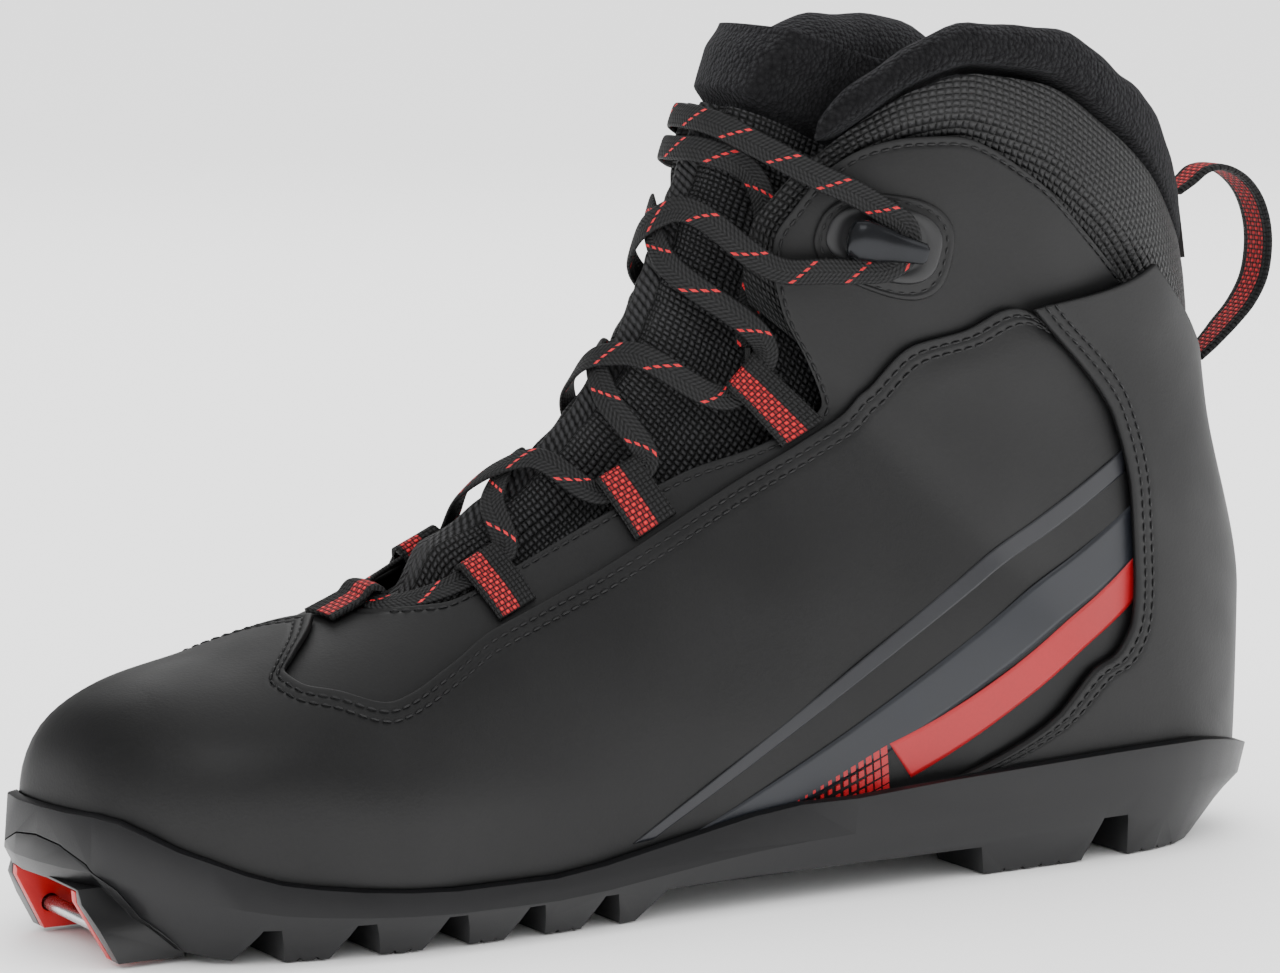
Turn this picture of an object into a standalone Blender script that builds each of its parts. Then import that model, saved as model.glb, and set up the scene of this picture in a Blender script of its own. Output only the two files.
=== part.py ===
"""Cross country ski boot, left foot: +X runs from toe to heel, -Y is the outer side, +Z up."""
import bpy
import bmesh
import numpy as np
from math import pi, cos, sin, radians

MM = 0.001

# ---- driving sizes, millimetres ----
BOOT_LENGTH = 300.0      # nose of the sole to the heel
BOOT_HEIGHT = 185.0      # floor to the top of the collar
BOOT_WIDTH = 91.0        # across the ball of the foot
PANEL_T = 1.3            # coated overlay panels
FACING_T = 1.5
LINING_T = 1.5
TONGUE_T = 2.6
PULL_W = 10.5            # pull loop webbing
PULL_T = 1.6
LACE_D = 2.4             # lace as a round cord
BAR_D = 3.4              # toe bar
BAR_X = 13.2
BAR_Z = 6.5
BAR_HALF = 21.0
RECESS_HALF = 14.0       # half the free width over the toe bar
RECESS_TOP = 15.4
LUG_TOP = 7.6            # forefoot lug gaps reach this high
HEEL_LUG_TOP = 10.0
HOOK_L = 18.0
RIM_T = 1.7              # rubber of the cup rim
FIT = 0.3                # clearance between hard pieces

KX = BOOT_LENGTH / 300.0
KY = BOOT_WIDTH / 91.0
KZ = BOOT_HEIGHT / 185.0

for old in list(bpy.data.objects):
    bpy.data.objects.remove(old, do_unlink=True)
BOOT = bpy.data.collections.new("cross_country_boot")
CUTS = bpy.data.collections.new("cutters")
bpy.context.scene.collection.children.link(BOOT)
bpy.context.scene.collection.children.link(CUTS)

# ---- the last: one row per section plane, fanned from the toe to the collar ----
# s | ridge x z | lower point x z | outer, inner half width | edge half widths | widest at | bulge
LAST = np.array([
    (0.00, 5.5, 22.0, 5.5, 21.4, 0.0, 0.0, 0.0, 0.0, .66, 2.00),
    (0.05, 8.0, 40.0, 7.5, 20.5, 13.0, 13.0, 12.0, 12.0, .66, 2.10),
    (0.10, 13.5, 48.5, 13.0, 19.5, 22.5, 22.5, 21.0, 21.0, .66, 2.20),
    (0.16, 26.0, 54.5, 25.5, 17.0, 32.0, 33.0, 30.0, 31.0, .66, 2.30),
    (0.24, 47.0, 59.5, 48.0, 12.5, 38.5, 41.5, 36.5, 39.0, .68, 2.25),
    (0.33, 70.0, 67.0, 76.0, 9.8, 41.5, 46.0, 39.5, 43.5, .72, 2.10),
    (0.42, 92.0, 78.0, 106.0, 9.8, 40.5, 43.0, 38.5, 40.0, .74, 1.95),
    (0.50, 113.0, 91.5, 142.0, 11.5, 37.5, 37.0, 34.5, 33.0, .74, 1.85),
    (0.57, 127.5, 104.0, 180.0, 12.5, 35.5, 34.0, 31.0, 30.0, .72, 1.85),
    (0.63, 137.0, 115.5, 222.0, 13.0, 34.0, 33.5, 31.0, 30.5, .70, 1.90),
    (0.68, 142.5, 125.0, 262.0, 13.0, 33.0, 33.0, 28.0, 28.0, .68, 1.95),
    (0.73, 146.0, 133.0, 287.0, 12.5, 32.0, 32.0, 17.0, 17.0, .66, 2.00),
    (0.78, 149.0, 140.0, 298.0, 15.0, 32.5, 32.5, 0.0, 0.0, .60, 2.05),
    (0.84, 152.5, 149.0, 299.0, 52.0, 33.5, 33.5, 0.0, 0.0, .56, 2.10),
    (0.90, 157.0, 160.0, 288.5, 97.0, 35.0, 35.0, 0.0, 0.0, .54, 2.15),
    (0.96, 163.5, 175.0, 283.0, 135.0, 36.5, 36.5, 0.0, 0.0, .53, 2.20),
    (1.00, 171.0, 194.0, 275.0, 182.0, 37.5, 37.5, 0.0, 0.0, .53, 2.20)])
# direction in which the ridge and the lower point move for one millimetre outward
RIDGE_OUT = np.array([(-1, -.6), (-1, .2), (-.75, .65), (-.35, .94), (-.27, .96), (-.38, .92),
                      (-.47, .88), (-.6, .8), (-.7, .71), (-.8, .6), (-.88, .48), (-.91, .42),
                      (-.93, .36), (-.93, .37), (-.93, .37), (-.93, .37), (-.93, .37)])
EDGE_OUT = np.array([(-1, -.6), (-.9, -.8), (-.5, -.9), (-.1, -1), (0, -1), (0, -1), (0, -1), (0, -1),
                     (0, -1), (0, -1), (.1, -1), (.6, -.9), (1, -.5), (1, 0), (1, .1), (1, .1), (1, .1)])
T_WIDE = 0.62            # |t| at the widest point of a section


def pchip(xs, ys):
    """Monotone cubic through the points, held constant outside them."""
    xs = np.asarray(xs, float)
    ys = np.asarray(ys, float)
    h = np.diff(xs)
    d = np.diff(ys) / h
    m = np.zeros(len(xs))
    m[0] = d[0]
    m[-1] = d[-1]
    for i in range(1, len(xs) - 1):
        if d[i - 1] * d[i] > 0:
            w1 = 2 * h[i] + h[i - 1]
            w2 = h[i] + 2 * h[i - 1]
            m[i] = (w1 + w2) / (w1 / d[i - 1] + w2 / d[i])

    def f(x):
        x = np.clip(np.asarray(x, float), xs[0], xs[-1])
        i = np.clip(np.searchsorted(xs, x) - 1, 0, len(xs) - 2)
        u = (x - xs[i]) / h[i]
        a = (1 + 2 * u) * (1 - u) ** 2
        b = u * (1 - u) ** 2
        c = u * u * (3 - 2 * u)
        e = u * u * (u - 1)
        return a * ys[i] + b * h[i] * m[i] + c * ys[i + 1] + e * h[i] * m[i + 1]
    return f


ROW = [pchip(LAST[:, 0], LAST[:, k]) for k in range(1, 11)]
OUT = [pchip(LAST[:, 0], RIDGE_OUT[:, k]) for k in (0, 1)]
OUT += [pchip(LAST[:, 0], EDGE_OUT[:, k]) for k in (0, 1)]


def smooth(x, a, b):
    u = np.clip((np.asarray(x, float) - a) / (b - a), 0, 1)
    return u * u * (3 - 2 * u)


def scaled(p):
    """Design millimetres to this boot's size; the toe is a little skewed to the inner side."""
    p = np.array(p, float)
    skew = 0.2 * np.clip(1 - p[..., 0] / 70.0, 0, 1) ** 2
    x = p[..., 0] - skew * p[..., 1]
    return np.stack([x * KX, p[..., 1] * KY, p[..., 2] * KZ], -1)


def design(s, t, off=0.0):
    """Point of the last; t runs from -1 (outer edge) over 0 (ridge) to 1; off moves it outward."""
    s, t, off = np.broadcast_arrays(np.asarray(s, float), np.asarray(t, float), np.asarray(off, float))
    fx, fz, bx, bz, wl, wm, bl, bm, pm, n1 = [f(s) for f in ROW]
    ox, oz, ex, ez = [f(s) for f in OUT]
    tip = np.clip(s / 0.05, 0, 1)
    fx = fx + off * ox / KX
    fz = fz + off * oz / KZ
    bx = bx + off * ex / KX
    bz = bz + off * ez / KZ
    w = np.where(t < 0, wl, wm) + off * tip / KY
    b = np.where(t < 0, bl, bm)
    b = b + 0.8 * off * tip / KY * b / (np.where(t < 0, wl, wm) + .001)
    b = np.where(s >= 0.78, 0.0, b)
    a = np.abs(t)
    th = np.clip(a / T_WIDE, 0, 1) * pi / 2
    ph = np.clip((a - T_WIDE) / (1 - T_WIDE), 0, 1) * pi / 2
    up = a <= T_WIDE
    y = np.where(up, w * np.sin(th) ** (2 / n1), b + (w - b) * np.cos(ph))
    p = np.where(up, pm * (1 - np.clip(np.cos(th), 0, 1) ** (2 / n1)), pm + (1 - pm) * np.sin(ph))
    y = np.where((a > 0.9999) & (s >= 0.78), 0.0, y)
    return np.stack([fx + (bx - fx) * p, np.sign(t) * y, fz + (bz - fz) * p], -1)


def surf(s, t, off=0.0):
    return scaled(design(s, t, off))


def normal(s, t):
    sc = np.clip(np.asarray(s, float), .01, .995)
    tc = np.clip(np.asarray(t, float), -.992, .992)
    du = surf(sc + .003, tc) - surf(sc - .003, tc)
    dv = surf(sc, tc + .006) - surf(sc, tc - .006)
    n = np.cross(du, dv)
    return n / np.linalg.norm(n, axis=-1, keepdims=True)


def half_width(x, z, side):
    """Half width of the last at the design point (x, z), by finding the section through it."""
    s = np.linspace(0, 1, 1501)
    fx, fz, bx, bz, wl, wm, bl, bm, pm, n1 = [f(s) for f in ROW]
    cr = (bx - fx) * (z - fz) - (bz - fz) * (x - fx)
    ln = (bx - fx) ** 2 + (bz - fz) ** 2 + 1e-9
    p = ((bx - fx) * (x - fx) + (bz - fz) * (z - fz)) / ln
    best = None
    for i in range(1500):
        if cr[i] * cr[i + 1] <= 0 and -0.05 <= p[i] <= 1.05 and s[i] > 0.004:
            best = i
            break
    if best is None:
        return 0.0
    i = best
    k = cr[i] / (cr[i] - cr[i + 1] + 1e-12)
    q = float(np.clip(p[i] + k * (p[i + 1] - p[i]), 0, 1))
    w = ((wl if side < 0 else wm)[i])
    b = ((bl if side < 0 else bm)[i])
    if q <= pm[i]:
        return float(w * (1 - (1 - q / pm[i]) ** n1[i]) ** (1 / n1[i]))
    u = (q - pm[i]) / (1 - pm[i])
    return float(b + (w - b) * (1 - u * u) ** 0.5)


# ---- materials ----
def material(name, rgb, rough=0.6, metal=0.0):
    m = bpy.data.materials.new(name)
    m.use_nodes = True
    b = m.node_tree.nodes["Principled BSDF"]
    b.inputs["Base Color"].default_value = (*rgb, 1)
    b.inputs["Roughness"].default_value = rough
    b.inputs["Metallic"].default_value = metal
    return m


SYNTH = material("coated_synthetic", (.03, .03, .033), .6)
SYNTH2 = material("heel_overlay_synthetic", (.028, .028, .03), .6)
FACE_M = material("facing_synthetic", (.035, .035, .037), .65)
MESH_M = material("ballistic_mesh", (.02, .02, .021), .8)
FLEECE = material("collar_fleece", (.012, .012, .013), .95)
TONGUE_M = material("tongue_weave", (.02, .02, .021), .85)
LINE_M = material("lining_textile", (.015, .015, .016), .9)
FOAM_M = material("collar_foam", (.3, .3, .3), .9)
RUBBER = material("sole_rubber", (.02, .02, .022), .7)
PLATE_M = material("toe_plate_plastic", (.025, .025, .027), .55)
RED_M = material("red_plastic", (.6, .02, .02), .4)
STEEL = material("bright_steel", (.7, .7, .7), .25, 1.0)
WEB_M = material("loop_webbing", (.5, .02, .03), .85)
LACE_M = material("braided_lace", (.02, .02, .02), .85)
HOOK_M = material("gunmetal_hook", (.1, .1, .1), .35, .8)
BASE_M = material("hook_base_plastic", (.02, .02, .02), .5)
BOARD_M = material("fibre_board", (.25, .2, .15), .9)
NYLON = material("shank_nylon", (.05, .05, .05), .5)
BED_M = material("footbed_foam", (.06, .06, .065), .9)
PUFF_M = material("stiffener", (.2, .19, .17), .8)
TIP_M = material("lace_tip", (.03, .03, .03), .3)


# ---- mesh helpers ----
def put(name, verts, faces, mat, coll=None):
    """Millimetre points to one closed body facing outward."""
    me = bpy.data.meshes.new(name)
    v = np.asarray(verts, float) * MM
    me.from_pydata([tuple(p) for p in v], [], [tuple(int(i) for i in f) for f in faces])
    me.validate()
    ob = bpy.data.objects.new(name, me)
    (coll or BOOT).objects.link(ob)
    if mat:
        me.materials.append(mat)
    if signed_volume(me) < 0:
        me.flip_normals()
    for p in me.polygons:
        p.use_smooth = False
    if coll is CUTS:
        ob.hide_render = True
        ob.display_type = "WIRE"
    return ob


def signed_volume(me):
    me.calc_loop_triangles()
    co = np.empty(len(me.vertices) * 3)
    me.vertices.foreach_get("co", co)
    co = co.reshape(-1, 3)
    tri = np.empty(len(me.loop_triangles) * 3, int)
    me.loop_triangles.foreach_get("vertices", tri)
    a, b, c = co[tri.reshape(-1, 3)].transpose(1, 0, 2)
    return float((a * np.cross(b, c)).sum())


def shell(name, outer, inner, mat, ring=False):
    """Two grids of points joined along their free edges into one closed sheet."""
    nu, nv = outer.shape[:2]
    verts = np.concatenate([outer.reshape(-1, 3), inner.reshape(-1, 3)])
    o = lambda i, j: (i % nu) * nv + j
    n = nu * nv
    faces = []
    last = nu if ring else nu - 1
    for i in range(last):
        for j in range(nv - 1):
            q = (o(i, j), o(i + 1, j), o(i + 1, j + 1), o(i, j + 1))
            faces.append(q)
            faces.append(tuple(k + n for k in reversed(q)))
        for j in (0, nv - 1):
            q = (o(i, j), o(i + 1, j), o(i + 1, j) + n, o(i, j) + n)
            faces.append(q if j else tuple(reversed(q)))
    if not ring:
        for j in range(nv - 1):
            q = (o(0, j), o(0, j + 1), o(0, j + 1) + n, o(0, j) + n)
            faces.append(q)
            q = (o(nu - 1, j), o(nu - 1, j + 1), o(nu - 1, j + 1) + n, o(nu - 1, j) + n)
            faces.append(tuple(reversed(q)))
    return put(name, verts, faces, mat)


def loft(name, rings, mat, coll=None):
    """Closed rings of equal count, skinned and capped."""
    rings = np.asarray(rings, float)
    k, n = rings.shape[:2]
    faces = []
    for i in range(k - 1):
        for j in range(n):
            a = i * n + j
            b = i * n + (j + 1) % n
            faces.append((a, b, b + n, a + n))
    faces.append(tuple(range(n - 1, -1, -1)))
    faces.append(tuple((k - 1) * n + j for j in range(n)))
    return put(name, rings.reshape(-1, 3), faces, mat, coll)


def prism(name, poly, axis, a, b, mat=None, coll=CUTS):
    """Flat outline run along X, Y or Z from a to b; the outline gives the other two axes in order."""
    poly = np.asarray(poly, float)
    rings = []
    for v in (a, b):
        cols = [poly[:, 0], poly[:, 1]]
        cols.insert("XYZ".index(axis), np.full(len(poly), v))
        rings.append(np.stack(cols, -1))
    return loft(name, rings, mat, coll)


def boolean(ob, cutter, kind="DIFFERENCE"):
    m = ob.modifiers.new("cut", "BOOLEAN")
    m.operation = kind
    m.solver = "EXACT"
    m.object = cutter
    bake(ob)


def bake(ob):
    """Make the modifiers real."""
    dg = bpy.context.evaluated_depsgraph_get()
    me = bpy.data.meshes.new_from_object(ob.evaluated_get(dg))
    ob.modifiers.clear()
    old = ob.data
    ob.data = me
    me.name = ob.name
    bpy.data.meshes.remove(old)


def tidy(ob):
    """Weld the slivers a cut leaves."""
    bm = bmesh.new()
    bm.from_mesh(ob.data)
    bmesh.ops.remove_doubles(bm, verts=bm.verts, dist=0.03 * MM)
    bmesh.ops.dissolve_degenerate(bm, dist=0.01 * MM, edges=bm.edges)
    bm.to_mesh(ob.data)
    bm.free()


def join_cutters(name, obs):
    verts = []
    faces = []
    for ob in obs:
        n = len(verts)
        verts += [tuple(v.co / MM) for v in ob.data.vertices]
        faces += [tuple(i + n for i in p.vertices) for p in ob.data.polygons]
        bpy.data.objects.remove(ob, do_unlink=True)
    return put(name, verts, faces, None, CUTS)


def copy_of(ob, name, mat, coll=None):
    new = bpy.data.objects.new(name, ob.data.copy())
    (coll or BOOT).objects.link(new)
    new.data.materials.clear()
    new.data.materials.append(mat)
    return new


def strip(rows, n, cuts, dense=0.0):
    """Surface coordinates between control rows of equal count: n along them, cuts[i] steps between."""
    rows = [np.asarray(r, float) for r in rows]
    chord = 0
    for r in rows:
        q = surf(r[:, 0], r[:, 1])
        chord = chord + np.r_[0, np.cumsum(np.linalg.norm(np.diff(q, axis=0), axis=1) + 1e-3)]
    u = np.linspace(0, 1, n)
    u = (u - dense * np.sin(2 * pi * u) / (2 * pi)) * chord[-1]
    fine = [np.stack([pchip(chord, r[:, k])(u) for k in (0, 1)], -1) for r in rows]
    out = [fine[0]]
    for a, b, c in zip(fine[:-1], fine[1:], cuts):
        for i in range(1, c + 1):
            out.append(a + (b - a) * i / c)
    return np.stack(out, 1)


def both(st, join):
    """Outer-side grid to a grid over both sides, joined at the ridge, at the back seam or as a ring."""
    other = st * np.array([1, -1])
    if join == "ring":
        return np.concatenate([st, other[-2:0:-1]])
    if join == "ridge":
        return np.concatenate([other[:0:-1], st])
    return np.concatenate([st, other[-2::-1]])


def panel(name, st, off, thick, mat, ring=False):
    return shell(name, surf(st[..., 0], st[..., 1], off), surf(st[..., 0], st[..., 1], off - thick), mat, ring)


# ---- coated overlay over toe and quarters, one piece ----
EDGE = [(0, 0), (.006, -1), (.03, -1), (.08, -1), (.16, -1), (.24, -1), (.31, -1), (.36, -1), (.42, -1),
        (.50, -1), (.57, -1), (.62, -1), (.66, -1), (.69, -1), (.72, -1), (.745, -1), (.757, -1),
        (.768, -1), (.78, -1)]
TOP = [(.318, 0), (.300, -.06), (.275, -.125), (.257, -.18), (.262, -.235), (.285, -.285), (.325, -.352),
       (.378, -.325), (.425, -.30), (.52, -.31), (.60, -.32), (.68, -.34), (.763, -.37), (.83, -.43),
       (.865, -.51), (.893, -.60), (.885, -.72), (.87, -.85), (.855, -1)]
BELOW = [(.16, 0), (.155, -.10), (.15, -.21), (.155, -.33), (.19, -.46), (.24, -.56), (.305, -.62),
         (.365, -.62), (.42, -.62), (.51, -.62), (.585, -.63), (.65, -.65), (.705, -.68), (.75, -.71),
         (.785, -.75), (.81, -.80), (.82, -.86), (.822, -.93), (.82, -1)]
quarter = both(strip([EDGE, BELOW, TOP], 44, [8, 5], .5), "ring")
panel("quarter_overlay", quarter, 0.0, PANEL_T, SYNTH, ring=True)

# ---- heel overlay ----
FRONT = [(.583, -.836), (.633, -.765), (.72, -.66), (.81, -.688), (.865, -.675), (.893, -.60)]
MID1 = [(.66, -.86), (.70, -.81), (.77, -.78), (.84, -.76), (.90, -.75), (.943, -.755)]
MID2 = [(.745, -.875), (.77, -.885), (.80, -.90), (.85, -.88), (.895, -.865), (.925, -.85)]
SEAM = [(.797, -1), (.80, -1), (.82, -1), (.85, -1), (.88, -1), (.905, -1)]
heel = strip([FRONT, MID1, MID2, SEAM], 16, [5, 5, 5]).transpose(1, 0, 2)
panel("heel_overlay", both(heel, "back"), PANEL_T + 1.3, PANEL_T, SYNTH2)

# ---- facing, one piece around the throat ----
IN = [(.345, 0), (.352, -.05), (.362, -.09), (.385, -.15), (.41, -.19), (.45, -.205), (.52, -.228),
      (.60, -.268), (.66, -.312), (.725, -.335), (.760, -.310), (.80, -.265), (.85, -.24), (.89, -.27),
      (.922, -.305), (.945, -.355), (.960, -.435), (.966, -.52), (.961, -.61), (.947, -.68), (.933, -.74)]
UNDER = [(.285, 0), (.262, -.06), (.235, -.13), (.232, -.25), (.30, -.40), (.37, -.39), (.47, -.37),
         (.58, -.385), (.66, -.40), (.74, -.42), (.775, -.44), (.80, -.47), (.82, -.50), (.835, -.53),
         (.848, -.57), (.858, -.60), (.866, -.63), (.873, -.66), (.878, -.69), (.882, -.72), (.888, -.745)]
facing = both(strip([UNDER, IN], 30, [3]), "ridge")
FACE_OFF = -2.15
panel("facing", facing, FACE_OFF, FACING_T, FACE_M)

# ---- collar mesh with its gusset strips ----
M_LOW = [(.775, -.335), (.805, -.315), (.85, -.295), (.88, -.315), (.905, -.35), (.925, -.40), (.938, -.46),
         (.944, -.53), (.938, -.60), (.925, -.665), (.908, -.73), (.89, -.83), (.868, -1)]
M_EDGE = [(.775, -.290), (.805, -.262), (.85, -.24), (.89, -.275), (.922, -.31), (.945, -.36), (.960, -.44),
          (.966, -.52), (.961, -.61), (.947, -.68), (.935, -.74), (.920, -.84), (.895, -1)]
M_TOP = [(.775, -.215), (.805, -.195), (.85, -.19), (.893, -.225), (.93, -.275), (.956, -.33), (.975, -.42),
         (.984, -.52), (.985, -.61), (.979, -.70), (.972, -.78), (.961, -.86), (.948, -1)]
M_N = 22
mesh_half = strip([M_LOW, M_EDGE, M_TOP], M_N, [1, 5])
bulge = smooth(-mesh_half[..., 1], .31, .43)
rise = np.array([0, 0, .3, .9, 1, 1, .92])[None, :]
mesh_off = -4.5 + bulge * rise * 4.6
mesh_st = both(mesh_half, "back")
mesh_all = np.concatenate([mesh_off, mesh_off[-2::-1]])
panel("collar_mesh", mesh_st, mesh_all, 1.2, MESH_M)

# ---- collar foam behind the mesh ----
foam = strip([(np.array(M_EDGE) * .62 + np.array(M_TOP) * .38)[7:], (np.array(M_EDGE) * .08
             + np.array(M_TOP) * .92)[7:]], 14, [2])
foam_st = both(foam, "back")
shell("collar_foam", surf(foam_st[..., 0], foam_st[..., 1], -2.6), surf(foam_st[..., 0], foam_st[..., 1], -6.9),
      FOAM_M)

# ---- lining ----
L_EDGE = [(0, 0), (.006, -1), (.03, -1), (.07, -1), (.12, -1), (.17, -1), (.22, -1), (.27, -1), (.32, -1),
          (.37, -1), (.42, -1), (.48, -1), (.53, -1), (.58, -1), (.62, -1), (.66, -1), (.69, -1),
          (.72, -1), (.745, -1), (.765, -1), (.78, -1)]
L_TOP = [(.30, 0), (.30, -.08), (.31, -.14), (.33, -.19), (.36, -.225), (.40, -.26), (.44, -.28),
         (.49, -.30), (.54, -.325), (.60, -.345), (.66, -.37), (.74, -.395), (.80, -.41), (.85, -.42),
         (.90, -.41), (.935, -.42), (.955, -.50), (.958, -.62), (.950, -.75), (.938, -.88), (.930, -1)]
lining = both(strip([L_EDGE, L_TOP], 29, [7], .5), "ring")
lin_off = -4.7 - 2.8 * smooth(lining[..., 0], .80, .88)
panel("lining", lining, lin_off, LINING_T, LINE_M, ring=True)

# ---- toe puff and heel counter, between overlay and lining ----
ps, pt = np.meshgrid(np.linspace(.105, .20, 7), np.linspace(-.92, .92, 25), indexing="ij")
panel("toe_puff", np.stack([ps, pt], -1), -(PANEL_T + 2.15), .7, PUFF_M)
C1 = [(.62, -.805), (.65, -.765), (.72, -.72), (.80, -.73), (.85, -.74)]
C2 = [(.735, -.838), (.76, -.825), (.79, -.82), (.83, -.83), (.86, -.85)]
C3 = [(.799, -1), (.811, -1), (.825, -1), (.84, -1), (.855, -1)]
counter = strip([C1, C2, C3], 8, [4, 4]).transpose(1, 0, 2)
panel("heel_counter", both(counter, "back"), -2.4, 1.0, PUFF_M)

# ---- collar roll ----
ROLL = [(.937, -.275), (.956, -.33), (.975, -.42), (.984, -.52), (.985, -.61), (.979, -.70), (.972, -.78),
        (.961, -.86), (.948, -1)]
ROLL_H = [5.0, 7.0, 8.5, 9.5, 10.5, 12.0, 12.5, 12.5, 12.5]
ROLL_W = [5.0, 9.0, 12, 12, 12, 11, 10, 9, 8.5]
roll_ctl = np.array([(s + .004, t, h, w) for (s, t), h, w in zip(ROLL, ROLL_H, ROLL_W)])
q = surf(roll_ctl[:, 0], roll_ctl[:, 1])
ch = np.r_[0, np.cumsum(np.linalg.norm(np.diff(q, axis=0), axis=1))]
uu = np.linspace(0, ch[-1], 17)
half = np.stack([pchip(ch, roll_ctl[:, k])(uu) for k in range(4)], -1)
mirror = half[-2::-1] * np.array([1, -1, 1, 1])
path = np.concatenate([half, mirror])
cen = surf(path[:, 0], path[:, 1], -0.3)
tan = np.gradient(cen, axis=0)
tan /= np.linalg.norm(tan, axis=1, keepdims=True)
nor = normal(path[:, 0], path[:, 1])
nor[16, 1] = 0.0
upw = np.cross(nor, tan)
upw *= np.sign(upw[:, 2:3])
upw /= np.linalg.norm(upw, axis=1, keepdims=True)
for step in range(3):
    upw[1:-1] = upw[1:-1] * .5 + (upw[:-2] + upw[2:]) * .25
upw /= np.linalg.norm(upw, axis=1, keepdims=True)
SECT = [(0.0, .03), (.09, .28), (.08, .6), (-.06, .88), (-.3, 1.0), (-.6, .97), (-.86, .78), (-1.0, .45),
        (-1.0, .03)]
rings = []
for c, n, v, (s, t, h, w) in zip(cen, nor, upw, path):
    rings.append([surf(s, t, a * w - .3) + v * (b * h + .3) for a, b in SECT])
loft("collar_roll", rings, FLEECE)

# ---- tongue: woven body and fleece lining that rolls over its top ----
S_T = [.345, .40, .45, .55, .65, .75, .85, .945, .99]
tongue_half = pchip(S_T, [.06, .15, .23, .29, .32, .33, .345, .37, .42])
up_to = pchip([.345, .40, .44, .50, .56, .62, .68, .74, .80, .86, .90, .93, .965, .99],
              [.001, .02, .04, .06, .08, .09, .09, .07, .06, .06, .08, .12, .16, .20])
down_by = pchip([.345, .40, .44, .50, .56, .62, .68, .74, .80, .86, .90, .93, .965, .99],
                [.03, .09, .12, .14, .165, .185, .18, .145, .13, .135, .16, .23, .29, .40])


def tongue_off(s, t):
    a = np.abs(t)
    deep = -6.9 - 2.9 * smooth(s, .50, .62) - 3.4 * smooth(s, .90, .945)
    top = -6.3 + 5.9 * smooth(s, .385, .43)
    k = np.clip((a - up_to(s)) / (down_by(s) - up_to(s)), 0, 1)
    return top + (np.minimum(deep, top - .3) - top) * (k * k * (3 - 2 * k))


ts, tf = np.meshgrid(np.linspace(.345, .945, 16), np.linspace(-1, 1, 15), indexing="ij")
tf = np.sign(tf) * np.abs(tf) ** .9
tt = tf * tongue_half(ts)
panel("tongue", np.stack([ts, tt], -1), tongue_off(ts, tt), TONGUE_T, TONGUE_M)
rows = np.r_[np.linspace(.345, .945, 16)[1:], .950, .957, .966, .975, .982, .988]
ts, tf = np.meshgrid(rows, np.linspace(-1, 1, 15), indexing="ij")
tf = np.sign(tf) * np.abs(tf) ** .9
tt = tf * tongue_half(ts)
bed = tongue_off(ts, np.abs(tt) + .022 + .022 * smooth(ts, .86, .92))
out_k = -TONGUE_T - 1.1 + (TONGUE_T + .9) * smooth(ts, .947, .958) - 1.6 * smooth(ts, .976, .988)
in_k = -TONGUE_T - 3.5 + 1.8 * smooth(ts, .976, .988)
shell("tongue_lining", surf(ts, tt, bed + out_k), surf(ts, tt, bed + in_k), FLEECE)


# ---- lace loops of webbing: a long leg over the facing, a fold, a short leg under it ----
def web_loop(name, corners, length):
    a, b, c, d = [np.array(k, float) for k in corners]
    outer = [(length, -.35), (length * .72, -.35), (6.0, -.35), (4.6, .3), (3.0, .75), (1.4, .3), (.4, -.9),
             (0, -2.5), (.4, -4.1), (1.4, -5.3), (3.0, -5.75), (4.6, -5.4), (6.0, -5.2), (9.0, -5.2)]
    inner = [(9.0, -4.1), (6.0, -4.1), (4.7, -4.4), (3.0, -4.65), (1.7, -4.0), (1.15, -2.5), (1.7, -1.0),
             (3.0, -.35), (4.7, -.75), (6.0, -1.45), (length * .72, -1.45), (length, -1.45)]
    prof = np.array(outer + inner)
    rings = []
    for k in np.linspace(0, 1, 3):
        tip = a + (b - a) * k
        end = d + (c - d) * k
        st = tip + (end - tip) * (prof[:, :1] / length)
        rings.append(surf(st[:, 0], st[:, 1], prof[:, 1]))
    loft(name, rings, WEB_M)


LOOPS = [[(.425, -.13), (.458, -.14), (.460, -.289), (.430, -.290)],
         [(.545, -.18), (.583, -.20), (.578, -.308), (.542, -.304)],
         [(.677, -.235), (.726, -.243), (.716, -.345), (.668, -.331)]]
for i, corners in enumerate(LOOPS):
    a, b, c, d = [surf(s, t) for s, t in corners]
    length = float(np.linalg.norm((a + b) / 2 - (c + d) / 2))
    web_loop("lace_loop_lateral_%d" % (i + 1), corners, length)
    web_loop("lace_loop_medial_%d" % (i + 1), [(s, -t) for s, t in corners], length)
tw = .052
corners = [(.376, -tw), (.376, tw), (.323, tw * 1.02), (.323, -tw * 1.02)]
length = float(np.linalg.norm(surf(.376, 0) - surf(.323, 0)))
web_loop("throat_loop", corners, length)

# ---- hooks: stitched patch, oval base, hook and rivet, on the facing of each side ----
HOOK_S, HOOK_T = .8895, .405
hook_frame = {}


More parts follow.
